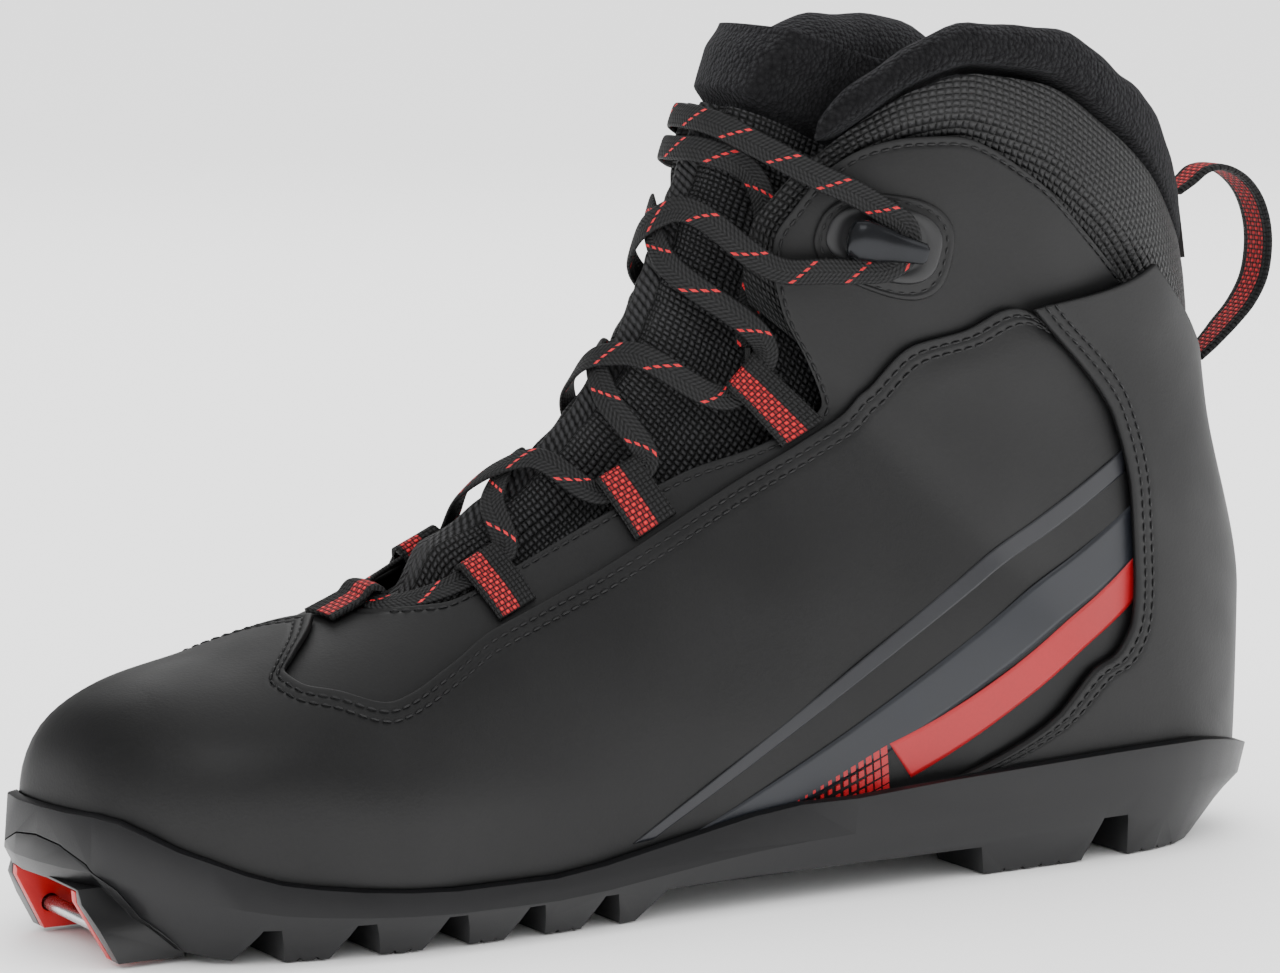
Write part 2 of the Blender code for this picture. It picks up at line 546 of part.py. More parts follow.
def disc(name, s0, t0, a, b, lift, thick, mat, n=18):
    """Oval plate bent to the last; a along the boot, b up it, in millimetres."""
    c = surf(s0, t0)
    ds = (surf(s0 + .002, t0) - surf(s0 - .002, t0)) / .004
    dt = (surf(s0, t0 + .004) - surf(s0, t0 - .004)) / .008
    m = np.stack([ds, dt], 1)
    nrm = normal(s0, t0)
    ex = np.array([1.0, 0, -.2])
    ex = ex - nrm * ex.dot(nrm)
    ex /= np.linalg.norm(ex)
    ey = np.cross(nrm, ex)
    inv = np.linalg.pinv(m)
    verts = []
    for off, radii in ((lift, (.45, .8, 1.0)), (lift + thick, (1.0, .8, .45))):
        for r in radii:
            for k in range(n):
                w = 2 * pi * k / n
                px = abs(cos(w)) ** .8 * np.sign(cos(w)) * a * r
                py = abs(sin(w)) ** .8 * np.sign(sin(w)) * b * r
                st = np.array([s0, t0]) + inv @ (ex * px + ey * py)
                verts.append(surf(st[0], st[1], off))
    faces = [(i * n + j, i * n + (j + 1) % n, (i + 1) * n + (j + 1) % n, (i + 1) * n + j)
             for i in range(5) for j in range(n)]
    verts += [surf(s0, t0, lift), surf(s0, t0, lift + thick)]
    faces += [((j + 1) % n, j, 6 * n) for j in range(n)]
    faces += [(5 * n + j, 5 * n + (j + 1) % n, 6 * n + 1) for j in range(n)]
    return put(name, verts, faces, mat)


for side, tag in ((-1, "lateral"), (1, "medial")):
    t0 = side * HOOK_T
    base_c = surf(HOOK_S, t0)
    nrm = normal(HOOK_S, t0)
    ex = np.array([1.0, 0, -.2])
    ex = ex - nrm * ex.dot(nrm)
    ex /= np.linalg.norm(ex)
    ez = np.cross(ex, nrm) * (1 if side > 0 else -1)
    ez *= np.sign(ez[2])
    patch = disc("hook_patch_" + tag, HOOK_S, t0, 16.0, 11.0, FACE_OFF + .5, .7, FACE_M)
    base = disc("hook_base_" + tag, HOOK_S, t0, 13.0, 8.0, FACE_OFF + 1.5, 1.2, BASE_M)
    top = FACE_OFF + 1.5 + 1.2 + FIT

    def at(x, y, z, c=base_c, a=ex, b=ez, d=nrm):
        return c + a * x + b * y + d * z
    hook_frame[side] = at
    # bar of the hook, a bullet narrowing to the rear, on a post near its middle
    sect = []
    for x, hh, lo, hi in ((-9.6, 2.2, 3.6, 6.0), (-9.0, 3.8, 3.2, 7.0), (-6.5, 4.6, 2.9, 7.6),
                          (-2.5, 4.2, 3.4, 7.5), (2.0, 3.1, 4.5, 7.2), (6.0, 2.6, 4.9, 7.0),
                          (8.4, 2.4, 5.0, 6.8), (9.4, 1.4, 5.3, 6.4)):
        x *= HOOK_L / 19.0
        row = []
        for k in range(12):
            w = 2 * pi * k / 12
            cc, sn = cos(w), sin(w)
            y = np.sign(cc) * abs(cc) ** .8 * hh
            z = (lo + hi) / 2 + np.sign(sn) * abs(sn) ** .8 * (hi - lo) / 2
            row.append(at(x, y, top - 1.4 + z))
        sect.append(row)
    hook = loft("hook_" + tag, sect, HOOK_M)
    post = []
    for z, r in ((top, 3.0), (top + 1.0, 2.7), (top + 3.2, 2.9)):
        post.append([at(-3.2 + r * cos(2 * pi * k / 12) * 1.15, r * sin(2 * pi * k / 12) * .8, z)
                     for k in range(12)])
    pole = loft("hook_post_" + tag, post, None, CUTS)
    boolean(hook, pole, "UNION")
    hook.data.materials.clear()
    hook.data.materials.append(HOOK_M)
    bore = []
    stem = []
    low = FACE_OFF - FACING_T - .45
    for z in (low - 2.0, top + .2):
        bore.append([at(-3.2 + 2.3 * cos(2 * pi * k / 14), 2.3 * sin(2 * pi * k / 14), z) for k in range(14)])
    cut = loft("rivet_bore_" + tag, bore, None, CUTS)
    for name in ("facing", "hook_patch_" + tag, "hook_base_" + tag):
        boolean(bpy.data.objects[name], cut)
    for z, r in ((low - 1.1, 4.6), (low - .3, 4.6), (low - .3, 2.0), (top - FIT, 2.0)):
        stem.append([at(-3.2 + r * cos(2 * pi * k / 14), r * sin(2 * pi * k / 14), z) for k in range(14)])
    loft("hook_rivet_" + tag, stem, STEEL)


# ---- lace: one cord from end to end ----
UNDER_X, OVER_X = 1.8, 5.3   # height of the lower and the upper strand where two cross


def eye(corners, side, k):
    """Middle of a lace loop's fold, k of the way across its webbing."""
    a, b, c, d = [np.array(q, float) for q in corners]
    pa, pb, pc, pd = [surf(q[0], q[1]) for q in (a, b, c, d)]
    length = np.linalg.norm((pa + pb) / 2 - (pc + pd) / 2)
    tip = a + (b - a) * k
    end = d + (c - d) * k
    st = tip + (end - tip) * 3.35 / length
    return (surf(st[0], side * abs(st[1]), -.4) + surf(st[0], side * abs(st[1]), -4.6)) / 2


def through(i, side):
    return [eye(LOOPS[i], side, k) for k in (-.22, .1, .5, .92, 1.28)]


def over_ridge(s, side, lift, climb=.008):
    """Three points of a strand crossing the tongue's ridge from one side to the other."""
    t = float(up_to(s))
    drop = (lift - UNDER_X) * .3
    return [surf(s - climb, side * t, lift - drop), surf(s, 0, lift), surf(s + climb, -side * t, lift - drop)]


def half_lace(side):
    """From the throat loop up one way: its own side, across, back, across, to the far hook and tail."""
    k = -side
    one, two, three = (OVER_X, UNDER_X, OVER_X) if side > 0 else (UNDER_X, OVER_X, UNDER_X)
    at = hook_frame[k]
    p = [surf(.3635, side * .03, -2.5), surf(.3645, side * .068, -2.6), surf(.385, side * .118, -2.9)]
    p += through(0, side)
    p += over_ridge(.499, side, one)
    p += through(1, k)
    p += over_ridge(.623, k, two)
    p += through(2, side)
    p.append(surf(.762, side * .22, -.8))
    p += over_ridge(.807, side, three, .012)
    p += [at(-19, -10.5, 1.2), at(-12, -8.6, 2.7), at(-4, -6.8, 3.0), at(2.2, -4.6, 3.0), at(5.0, 0, 3.0),
          at(3.0, 4.6, 3.0), at(-3, 7.0, 3.0), at(-10, 9.3, 2.6), at(-17, 10.6, 1.4)]
    if side < 0:
        p += [surf(.903, k * .17, 1.0), surf(.900, k * .07, 2.0), surf(.899, 0, 2.1),
              surf(.902, side * .075, 1.7), surf(.903, side * .13, -1.6), surf(.899, side * .157, -5.2),
              surf(.888, side * .18, -7.4), surf(.87, side * .20, -7.6)]
    else:
        p += [surf(.920, k * .20, 1.6), surf(.928, k * .09, 2.1), surf(.930, 0, 2.1),
              surf(.931, side * .09, 1.9), surf(.930, side * .165, -1.2), surf(.926, side * .197, -5.0),
              surf(.913, side * .208, -7.5), surf(.89, side * .21, -7.7)]
    p += [surf(.85, side * .205, -7.6), surf(.80, side * .205, -7.6), surf(.75, side * .21, -7.6),
          surf(.71, side * .23, -7.6), surf(.67, side * .245, -7.6)]
    return p


pts = np.array(half_lace(1)[::-1] + half_lace(-1))
ch = np.r_[0, np.cumsum(np.linalg.norm(np.diff(pts, axis=0), axis=1))]


def catmull(pts, ch, u):
    out = []
    tang = np.gradient(pts, ch, axis=0)
    for x in u:
        i = int(np.clip(np.searchsorted(ch, x) - 1, 0, len(ch) - 2))
        h = ch[i + 1] - ch[i]
        w = (x - ch[i]) / h
        out.append((1 + 2 * w) * (1 - w) ** 2 * pts[i] + w * (1 - w) ** 2 * h * tang[i]
                   + w * w * (3 - 2 * w) * pts[i + 1] + w * w * (w - 1) * h * tang[i + 1])
    return np.array(out)


def tube(name, pts, radius, mat, n=6):
    """Round cord along points, its section carried without twist."""
    tan = np.gradient(pts, axis=0)
    tan /= np.linalg.norm(tan, axis=1, keepdims=True)
    ref = np.cross(tan[0], (0, 0, 1.0))
    if np.linalg.norm(ref) < .1:
        ref = np.cross(tan[0], (0, 1.0, 0))
    ref /= np.linalg.norm(ref)
    rings = []
    for p, t in zip(pts, tan):
        ref = ref - t * ref.dot(t)
        ref /= np.linalg.norm(ref)
        b = np.cross(t, ref)
        rings.append([p + radius * (ref * cos(2 * pi * k / n) + b * sin(2 * pi * k / n)) for k in range(n)])
    return loft(name, rings, mat)


def thinned(line, slack, longest):
    """Leaves out the points a straight run between others already covers."""
    keep = [0]
    i = 0
    while i < len(line) - 1:
        j = i + 1
        while j + 1 < len(line):
            a, b = line[i], line[j + 1]
            run = np.linalg.norm(b - a)
            if run > longest:
                break
            d = line[i + 1:j + 1] - a
            u = (b - a) / run
            away = np.linalg.norm(d - np.outer(d @ u, u), axis=1)
            if away.max() > slack:
                break
            j += 1
        keep.append(j)
        i = j
    return line[keep]


TIP_L = 12.0
ends = ch[-1] - TIP_L
line = catmull(pts, ch, np.linspace(TIP_L + FIT, ends - FIT, 1700))
tube("lace", thinned(line, .2, 14.0), LACE_D / 2, LACE_M)
tube("lace_tip_medial", catmull(pts, ch, np.linspace(0, TIP_L, 5)), LACE_D / 2 - .1, TIP_M)
tube("lace_tip_lateral", catmull(pts, ch, np.linspace(ends, ch[-1], 5)), LACE_D / 2 - .1, TIP_M)
print("lace length", round(float(ch[-1]), 1), "mm")

# ---- sole ----
RIM = pchip([5, 9, 14.5, 21, 29, 37, 51, 63, 81, 102, 122, 145, 161, 190, 209, 233, 254, 270, 280, 291, 298],
            [31, 31, 28.3, 24.6, 21.6, 18.4, 15.8, 14.4, 13.2, 13.2, 15.7, 19.6, 21.6, 23.1, 24.4, 25.2, 25.8,
             25.6, 24.1, 20.8, 18.4])
FEATHER = pchip(LAST[:13, 3], LAST[:13, 4] + np.arange(13) * 1e-6)
FLOOR = pchip([0, 12, 20, 33, 42, 260, 280, 292, 300], [7, 4.2, 2.2, .3, 0, 0, 0, .6, 1.5])
NS = 36


def outline(level):
    """Plan outline of the last where its height is level(x): outer side out, inner side back."""
    s = np.linspace(0, 1, 3001)
    fx, fz, bx, bz = [f(s) for f in ROW[:4]]
    front = np.argmax(fz >= level(fx))
    k = np.where(s >= .78)[0]
    back = k[np.argmax(bz[k] >= level(bx[k]))]
    x0, x1 = fx[front], bx[back]
    xs = x0 + (x1 - x0) * (1 - np.cos(pi * np.arange(NS + 1) / NS)) / 2
    zs = level(xs)
    lat = [(x, -half_width(x, z, -1), z) for x, z in zip(xs, zs)]
    med = [(x, half_width(x, z, 1), z) for x, z in zip(xs, zs)]
    lat[0] = med[0] = (xs[0], 0, zs[0])
    lat[-1] = med[-1] = (xs[-1], 0, zs[-1])
    return np.array(lat + med[-2:0:-1])


def push(ring, off, z=None):
    """Move an outline outward in plan by off(x) and to the height z."""
    p = scaled(ring)
    nxt = np.roll(p, -1, 0)
    prv = np.roll(p, 1, 0)
    d = (nxt - prv)[:, :2]
    n = np.stack([d[:, 1], -d[:, 0]], -1)
    n /= np.linalg.norm(n, axis=1, keepdims=True)
    mid = p[:, :2].mean(0)
    if ((p[:, :2] - mid) * n).sum() < 0:
        n = -n
    out = p.copy()
    out[:, :2] += n * (off if np.isscalar(off) else off[:, None])
    if z is not None:
        out[:, 2] = z
    return out


def ladder(name, rings, mat, coll=None):
    """Body from plan outlines stacked into a tube, closed by strips across at both ends."""
    rings = np.asarray(rings)
    k, n = rings.shape[:2]
    faces = []
    for i in range(k - 1):
        for j in range(n):
            a = i * n + j
            b = i * n + (j + 1) % n
            faces.append((a, b, b + n, a + n))
    for base, rev in ((0, True), ((k - 1) * n, False)):
        for j in range(n // 2):
            a, b = base + j, base + j + 1
            c, d = base + (n - j - 1) % n, base + (n - j) % n
            f = [a, b, c, d]
            if j == 0:
                f = [a, b, c]
            if j == n // 2 - 1:
                f = [a, b, d]
            faces.append(tuple(reversed(f)) if rev else tuple(f))
    return put(name, rings.reshape(-1, 3), faces, mat, coll)


def sole_rings(fill):
    rim = outline(RIM)
    mid = outline(lambda x: (RIM(x) + FEATHER(x)) / 2)
    low = outline(lambda x: FEATHER(x) + .15)
    over = lambda r: (PANEL_T + 2.0) * smooth(r[:, 0], 166, 178)
    zr = rim[:, 2] * KZ
    x = rim[:, 0]
    rings = []
    if not fill:
        rings.append(push(low, .6 + over(low) * .95, (FEATHER(low[:, 0]) - .6) * KZ))
        rings.append(push(mid, .65 + over(mid)))
    rings.append(push(rim, .6 + over(rim)))
    rings.append(push(rim, .6 + RIM_T + over(rim), zr - .5))
    rings.append(push(rim, pchip([5, 30, 60, 260, 298], [3.2, 3.0, 3.0, 4.7, 3.9])(x), zr * .62))
    rings.append(push(rim, pchip([5, 20, 40, 120, 200, 262, 285, 298],
                                 [-1.5, .4, .6, .8, 2.2, 2.2, 0, -1.6])(x), zr * .34))
    z0 = FLOOR(x) * KZ
    rings.append(push(rim, pchip([5, 12, 22, 40, 130, 200, 262, 285, 298],
                                 [-9, -7.5, -5, -3.2, -2.6, -1.4, -1.6, -5, -8.5])(x), z0))
    return rings


sole = ladder("outsole", sole_rings(False), RUBBER)
solid = ladder("sole_blank", sole_rings(True), None, CUTS)

cuts = []


def gap(x0, x1, u0, u1, top, y0, y1):
    """Opening across the tread, x0..x1 wide at the floor and u0..u1 at its top."""
    poly = [(x0 * KX, -3), (x1 * KX, -3), (x1 * KX, 0), (u1 * KX, top * KZ), (u0 * KX, top * KZ), (x0 * KX, 0)]
    cuts.append(prism("gap%d" % len(cuts), poly, "Y", y0, y1))


for x0, x1, u0, u1 in ((33.5, 44, 38, 41.5), (53.2, 64.2, 57, 61), (73.4, 84.4, 77, 81.2),
                       (92.6, 102.6, 96, 99.6), (111.2, 121.2, 114.6, 118)):
    gap(x0, x1, u0, u1, LUG_TOP, 14.5, 60)
    gap(x0, x1, u0, u1, LUG_TOP, -60, -14.5)
gap(125.0, 215.5, 131.0, 213.0, 6.8, -60, 60)
gap(242.3, 255.6, 245.8, 252.6, HEEL_LUG_TOP, -60, 60)
for x in (23, 28, 47, 50.5, 67, 70.5, 87, 90.5, 105.5, 109, 221, 226, 231, 236, 260, 265, 270):
    poly = [((x - .7) * KX, -1), ((x + .7) * KX, -1), ((x + .7) * KX, 0), (x * KX, .9), ((x - .7) * KX, 0)]
    if x < 30:
        z = float(FLOOR(x)) * KZ
        poly = [(a, b + z) for a, b in poly]
    cuts.append(prism("nick%d" % x, poly, "Y", 15.5 if x < 120 else 8, 60))
    cuts.append(prism("nack%d" % x, poly, "Y", -60, -15.5 if x < 120 else -8))
boolean(sole, join_cutters("tread_cut", cuts))
cuts = []
for y in (-10.5, 10.5):
    for a, b in ((30, 124), (214, 244), (254, 300)):
        cuts.append(prism("groove", [(y - 3.2, -3), (y + 3.2, -3), (y + 2.6, 4.8), (y - 2.6, 4.8)], "X",
                          a * KX, b * KX))
boolean(sole, join_cutters("groove_cut", cuts))

# seat for the shank in the floor of the cup
xs = np.array([131.0, 150, 170, 190, 210, 236])


def plank(name, x, w, z0, z1, mat, coll=None):
    rings = []
    for a in x:
        zl = (FEATHER(a) + z0) * KZ
        zh = (FEATHER(a) + z1) * KZ
        rings.append([(a * KX, -w, zl), (a * KX, w, zl), (a * KX, w, zh), (a * KX, -w, zh)])
    return loft(name, rings, mat, coll)


seat = plank("shank_seat", xs, 14.5, -2.9, 2.0, None, CUTS)
boolean(sole, seat)
xs2 = xs.copy()
xs2[0] += .5
xs2[-1] -= .5
plank("shank", xs2, 14.0, -2.5, -.95, NYLON)

# ---- nose: toe plate, red insert and bar let into the sole ----
ARCH = [(-24, -4), (24, -4), (23.6, 9), (21.2, 15.8), (16, 20.8), (8.5, 23.8), (0, 24.8), (-8.5, 23.8),
        (-16, 20.8), (-21.2, 15.8), (-23.6, 9)]


def sized(poly, grow):
    p = np.array(poly, float)
    c = p.mean(0)
    d = p - c
    return c + d * (1 + grow / np.linalg.norm(d, axis=1, keepdims=True))


RW = 2.3                 # wall of the red insert
RH = RECESS_HALF + RW
RED_OUT = [(-RH - 3.2, -5), (RH + 3.2, -5), (RH, RECESS_TOP), (-RH, RECESS_TOP)]
RED_IN = [(-RECESS_HALF - 3.2, -6), (RECESS_HALF + 3.2, -6), (RECESS_HALF, RECESS_TOP + 1),
          (-RECESS_HALF, RECESS_TOP + 1)]
# squared front of the sole with a leg on each side of the recess
LEG = BAR_HALF + 1.4
square = prism("nose_square", [(-LEG, .9), (LEG, .9), (LEG - .4, 8), (LEG - 2.3, 12.4), (LEG - 4.7, 16.15),
                               (4.7 - LEG, 16.15), (2.3 - LEG, 12.4), (.4 - LEG, 8)], "X", 5.4, 26.6)
# the front leans back from the top of the recess down to the floor
rake = prism("nose_rake", [(-6, -4), (14.8, -4), (5.2, 13.7), (5.2, 22), (-6, 22)], "Y", -40, 40)
boolean(square, rake)
boolean(sole, square, "UNION")
boolean(solid, square, "UNION")
red = copy_of(sole, "toe_insert", RED_M)
red.data = solid.data.copy()
plate = copy_of(sole, "toe_plate", PLATE_M)
boolean(red, prism("red_out", RED_OUT, "X", -15, 23.4), "INTERSECT")
boolean(red, prism("red_in", RED_IN, "X", -16, 20.8))
boolean(plate, prism("plate_form", sized(ARCH, -.35), "X", -15, 27.6), "INTERSECT")
boolean(plate, prism("plate_cut", [(a * 1.02, b + .3) for a, b in RED_OUT], "X", -16, 23.8))
boolean(sole, prism("plate_pocket", ARCH, "X", -15, 28.0))
hole = []
rod = []
for k in range(16):
    w = 2 * pi * k / 16
    hole.append((BAR_X + (BAR_D / 2 + FIT) * cos(w), BAR_Z + (BAR_D / 2 + FIT) * sin(w)))
    rod.append((BAR_X + BAR_D / 2 * cos(w), BAR_Z + BAR_D / 2 * sin(w)))
bore = prism("bar_bore", hole, "Y", -BAR_HALF - .4, BAR_HALF + .4)
boolean(red, bore)
boolean(plate, bore)
prism("toe_bar", rod, "Y", -BAR_HALF, BAR_HALF, STEEL, BOOT)
for name in ("facing", "hook_patch_lateral", "hook_patch_medial", "hook_base_lateral", "hook_base_medial",
             "hook_lateral", "hook_medial", "outsole", "toe_insert", "toe_plate"):
    tidy(bpy.data.objects[name])
for ob, mat in ((red, RED_M), (plate, PLATE_M), (sole, RUBBER)):
    ob.data.materials.clear()
    ob.data.materials.append(mat)


# ---- lasting board and footbed ----
def insole(name, inset, z0, z1, mat):
    base = outline(lambda x: FEATHER(x) + .15)
    x = base[:, 0]
    ends = np.exp(-((x - x.min()) / 12) ** 2) + np.exp(-((x.max() - x) / 12) ** 2)
    keep = push(base, -inset - ends * 2.2)
    lo = keep.copy()
    hi = keep.copy()
    zf = FEATHER(base[:, 0])
    lo[:, 2] = (zf + z0) * KZ
    hi[:, 2] = (zf + z1) * KZ
    return ladder(name, [lo, hi], mat)


insole("lasting_board", 2.2, .1, 1.6, BOARD_M)
insole("footbed", 6.8, 2.2, 6.0, BED_M)


# ---- pull loop and the two sewn roots it swings on ----
ROOT_LOW = np.array([291.5, 0, 106.0])
ROOT_TOP = np.array([286.0, 0, 146.0])
arc = [(293.6, 107.6), (296.6, 110.4), (301.6, 115.0), (306.4, 119.8), (309.8, 125.5), (311.0, 131.5),
       (310.4, 139.0), (307.4, 145.6), (302.8, 149.8), (297.6, 151.6), (293.6, 151.0), (289.9, 148.4)]
arc = np.array([(x, 0, z) for x, z in arc]) * np.array([KX, 1, KZ])
wide = [.16, .34, .75, 1, 1, 1, 1, 1, 1, .75, .34, .16]
tan = np.gradient(arc, axis=0)
tan /= np.linalg.norm(tan, axis=1, keepdims=True)
rings = []
for p, t, k in zip(arc, tan, wide):
    n = np.array([t[2], 0, -t[0]])
    w = PULL_W / 2 * k
    rings.append([p + n * PULL_T / 2 + (0, -w, 0), p + n * PULL_T / 2 + (0, w, 0),
                  p - n * PULL_T / 2 + (0, w, 0), p - n * PULL_T / 2 + (0, -w, 0)])
pull = loft("pull_loop", rings, WEB_M)


def root(name, s0, off0, z_lift):
    """Flat sewn end of the pull loop, bent to the back of the boot."""
    rings = []
    for ds in (-z_lift, 0, z_lift):
        row = []
        for t, o in ((-.965, 0), (-.985, 0), (1, 0), (.985, 0), (.965, 0)):
            row.append(surf(s0 + ds, t, off0))
        for t, o in ((.965, 0), (.985, 0), (1, 0), (-.985, 0), (-.965, 0)):
            row.append(surf(s0 + ds, t, off0 + 1.1))
        rings.append(row)
    return loft(name, rings, WEB_M)


root("pull_root_lower", .9185, .45, .0085)
root("pull_root_upper", .9615, 2.2, .0065)
axis_a = arc[0] - (1.2, 0, 0)
axis_b = arc[-1] - (1.2, 0, 0)

# ---- moving pieces turn about their own origins; stand the boot over the world origin ----
lo = np.array([1e9] * 3)
hi = -lo
for ob in BOOT.objects:
    co = np.empty(len(ob.data.vertices) * 3)
    ob.data.vertices.foreach_get("co", co)
    co = co.reshape(-1, 3)
    lo = np.minimum(lo, co.min(0))
    hi = np.maximum(hi, co.max(0))
move = np.array([-(lo[0] + hi[0]) / 2, -(lo[1] + hi[1]) / 2, -lo[2]])
for ob in BOOT.objects:
    co = np.empty(len(ob.data.vertices) * 3)
    ob.data.vertices.foreach_get("co", co)
    co = co.reshape(-1, 3) + move
    org = np.zeros(3)
    if ob.name == "pull_loop":
        org = axis_a * MM + move
    if ob.name == "footbed":
        org = co.mean(0)
    ob.data.vertices.foreach_set("co", (co - org).ravel())
    ob.location = tuple(org)
    ob.data.update()
for ob in CUTS.objects:
    ob.location = tuple(move)
print("pull axis", (axis_a * MM + move).round(5), (axis_b * MM + move).round(5), "move", move.round(5))
print("box", (lo + move).round(4), (hi + move).round(4))
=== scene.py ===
# Cross country ski boot: fine surfaces, stitching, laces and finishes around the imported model
import bpy
import bmesh
import math
import numpy as np
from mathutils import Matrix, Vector


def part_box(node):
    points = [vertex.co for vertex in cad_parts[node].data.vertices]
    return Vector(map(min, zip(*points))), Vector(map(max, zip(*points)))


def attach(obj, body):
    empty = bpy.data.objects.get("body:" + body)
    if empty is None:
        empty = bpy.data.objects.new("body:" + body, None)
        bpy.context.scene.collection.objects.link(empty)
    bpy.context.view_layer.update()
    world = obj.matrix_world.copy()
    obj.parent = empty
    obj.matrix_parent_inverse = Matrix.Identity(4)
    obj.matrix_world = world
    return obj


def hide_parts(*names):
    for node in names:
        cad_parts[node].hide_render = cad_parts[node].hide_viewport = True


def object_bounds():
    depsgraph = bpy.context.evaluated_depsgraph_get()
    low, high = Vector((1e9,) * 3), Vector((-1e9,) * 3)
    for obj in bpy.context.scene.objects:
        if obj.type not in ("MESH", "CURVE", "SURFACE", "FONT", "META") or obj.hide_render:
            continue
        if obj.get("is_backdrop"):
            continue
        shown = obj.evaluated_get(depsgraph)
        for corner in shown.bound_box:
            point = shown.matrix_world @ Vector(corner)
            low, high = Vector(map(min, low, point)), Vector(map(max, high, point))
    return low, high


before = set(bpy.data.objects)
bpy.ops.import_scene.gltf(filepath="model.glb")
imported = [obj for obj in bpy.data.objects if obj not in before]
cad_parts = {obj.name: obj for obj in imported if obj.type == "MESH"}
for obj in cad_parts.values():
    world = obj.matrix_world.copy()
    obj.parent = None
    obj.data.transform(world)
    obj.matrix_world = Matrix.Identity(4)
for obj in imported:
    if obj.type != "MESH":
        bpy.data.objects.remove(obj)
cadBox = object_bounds()
pi = math.pi
barLow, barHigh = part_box("toe_bar")
# shape points are in millimetres from the nose of the sole, and this moves them into the frame
home = np.array([(barLow[0] + barHigh[0]) / 2 - 0.0132, (barLow[1] + barHigh[1]) / 2,
                 (barLow[2] + barHigh[2]) / 2 - 0.0065])

cameraInfo = {"azimuth": -29.5, "elevation": 7.7, "distance": 1.1, "lens": 142.3,
              "target": (0.1463, 0.0, 0.0872)}


def makeCamera():
    target = Vector(cameraInfo["target"]) + Vector(home)
    a = math.radians(cameraInfo["azimuth"])
    e = math.radians(cameraInfo["elevation"])
    back = Vector((math.sin(a) * math.cos(e), -math.cos(a) * math.cos(e), math.sin(e)))
    data = bpy.data.cameras.new("camera")
    data.lens = cameraInfo["lens"]
    data.sensor_width = 36
    cam = bpy.data.objects.new("camera", data)
    bpy.context.scene.collection.objects.link(cam)
    cam.location = target + back * cameraInfo["distance"]
    cam.rotation_euler = back.to_track_quat("Z", "Y").to_euler()
    bpy.context.scene.camera = cam


makeCamera()
print("camera placed")


def srgb(code):
    out = []  # hex sRGB to linear
    for k in (0, 2, 4):
        c = int(code.lstrip("#")[k:k + 2], 16) / 255
        out.append(c / 12.92 if c <= 0.04045 else ((c + 0.055) / 1.055) ** 2.4)
    return (*out, 1.0)


def addNode(mat, kind, settings=None, links=None):
    tree = mat.node_tree
    node = tree.nodes.new(kind)
    for key, value in (settings or {}).items():
        if isinstance(key, int) or key in node.inputs.keys():
            node.inputs[key].default_value = value
        else:
            setattr(node, key, value)
    for key, (src, out) in (links or {}).items():
        tree.links.new(src.outputs[out], node.inputs[key])
    return node


def newMaterial(name, rough=0.6, metal=0.0, extra=None):
    mat = bpy.data.materials.new(name)
    mat.use_nodes = True
    shader = mat.node_tree.nodes["Principled BSDF"]
    shader.inputs["Roughness"].default_value = rough
    shader.inputs["Metallic"].default_value = metal
    for key, value in (extra or {}).items():
        shader.inputs[key].default_value = value
    return mat, shader


def calc(mat, op, a, b=None):
    # one Math node; a and b are numbers or (node, output) pairs
    node = addNode(mat, "ShaderNodeMath", {"operation": op})
    for k, v in ((0, a), (1, b)):
        if v is None:
            continue
        if isinstance(v, tuple):
            mat.node_tree.links.new(v[0].outputs[v[1]], node.inputs[k])
        else:
            node.inputs[k].default_value = v
    return (node, 0)


def colorRamp(mat, source, stops):
    node = addNode(mat, "ShaderNodeValToRGB", {}, {"Fac": source})
    el = node.color_ramp.elements
    el[0].position, el[0].color = stops[0][0], srgb(stops[0][1])
    el[1].position, el[1].color = stops[-1][0], srgb(stops[-1][1])
    for pos, code in stops[1:-1]:
        e = el.new(pos)
        e.color = srgb(code)
    return (node, "Color")


def finishMaterial(mat, shader, color, height, depth, strength=1.0):
    # depth is the pattern's relief in metres
    links = mat.node_tree.links
    if isinstance(color, tuple) and not isinstance(color[0], float):
        links.new(color[0].outputs[color[1]], shader.inputs["Base Color"])
    else:
        shader.inputs["Base Color"].default_value = color
    if height:
        bump = addNode(mat, "ShaderNodeBump", {"Strength": strength, "Distance": depth}, {"Height": height})
        links.new(bump.outputs["Normal"], shader.inputs["Normal"])
    return mat


def objectMm(mat):
    coord = addNode(mat, "ShaderNodeTexCoord")
    return addNode(mat, "ShaderNodeMapping", {"Scale": (1000, 1000, 1000)}, {"Vector": (coord, "Object")})


def uvMm(mat):
    # UV maps here are in millimetres: u along the piece, v across it
    coord = addNode(mat, "ShaderNodeTexCoord")
    sep = addNode(mat, "ShaderNodeSeparateXYZ", {}, {"Vector": (coord, "UV")})
    return (sep, "X"), (sep, "Y")


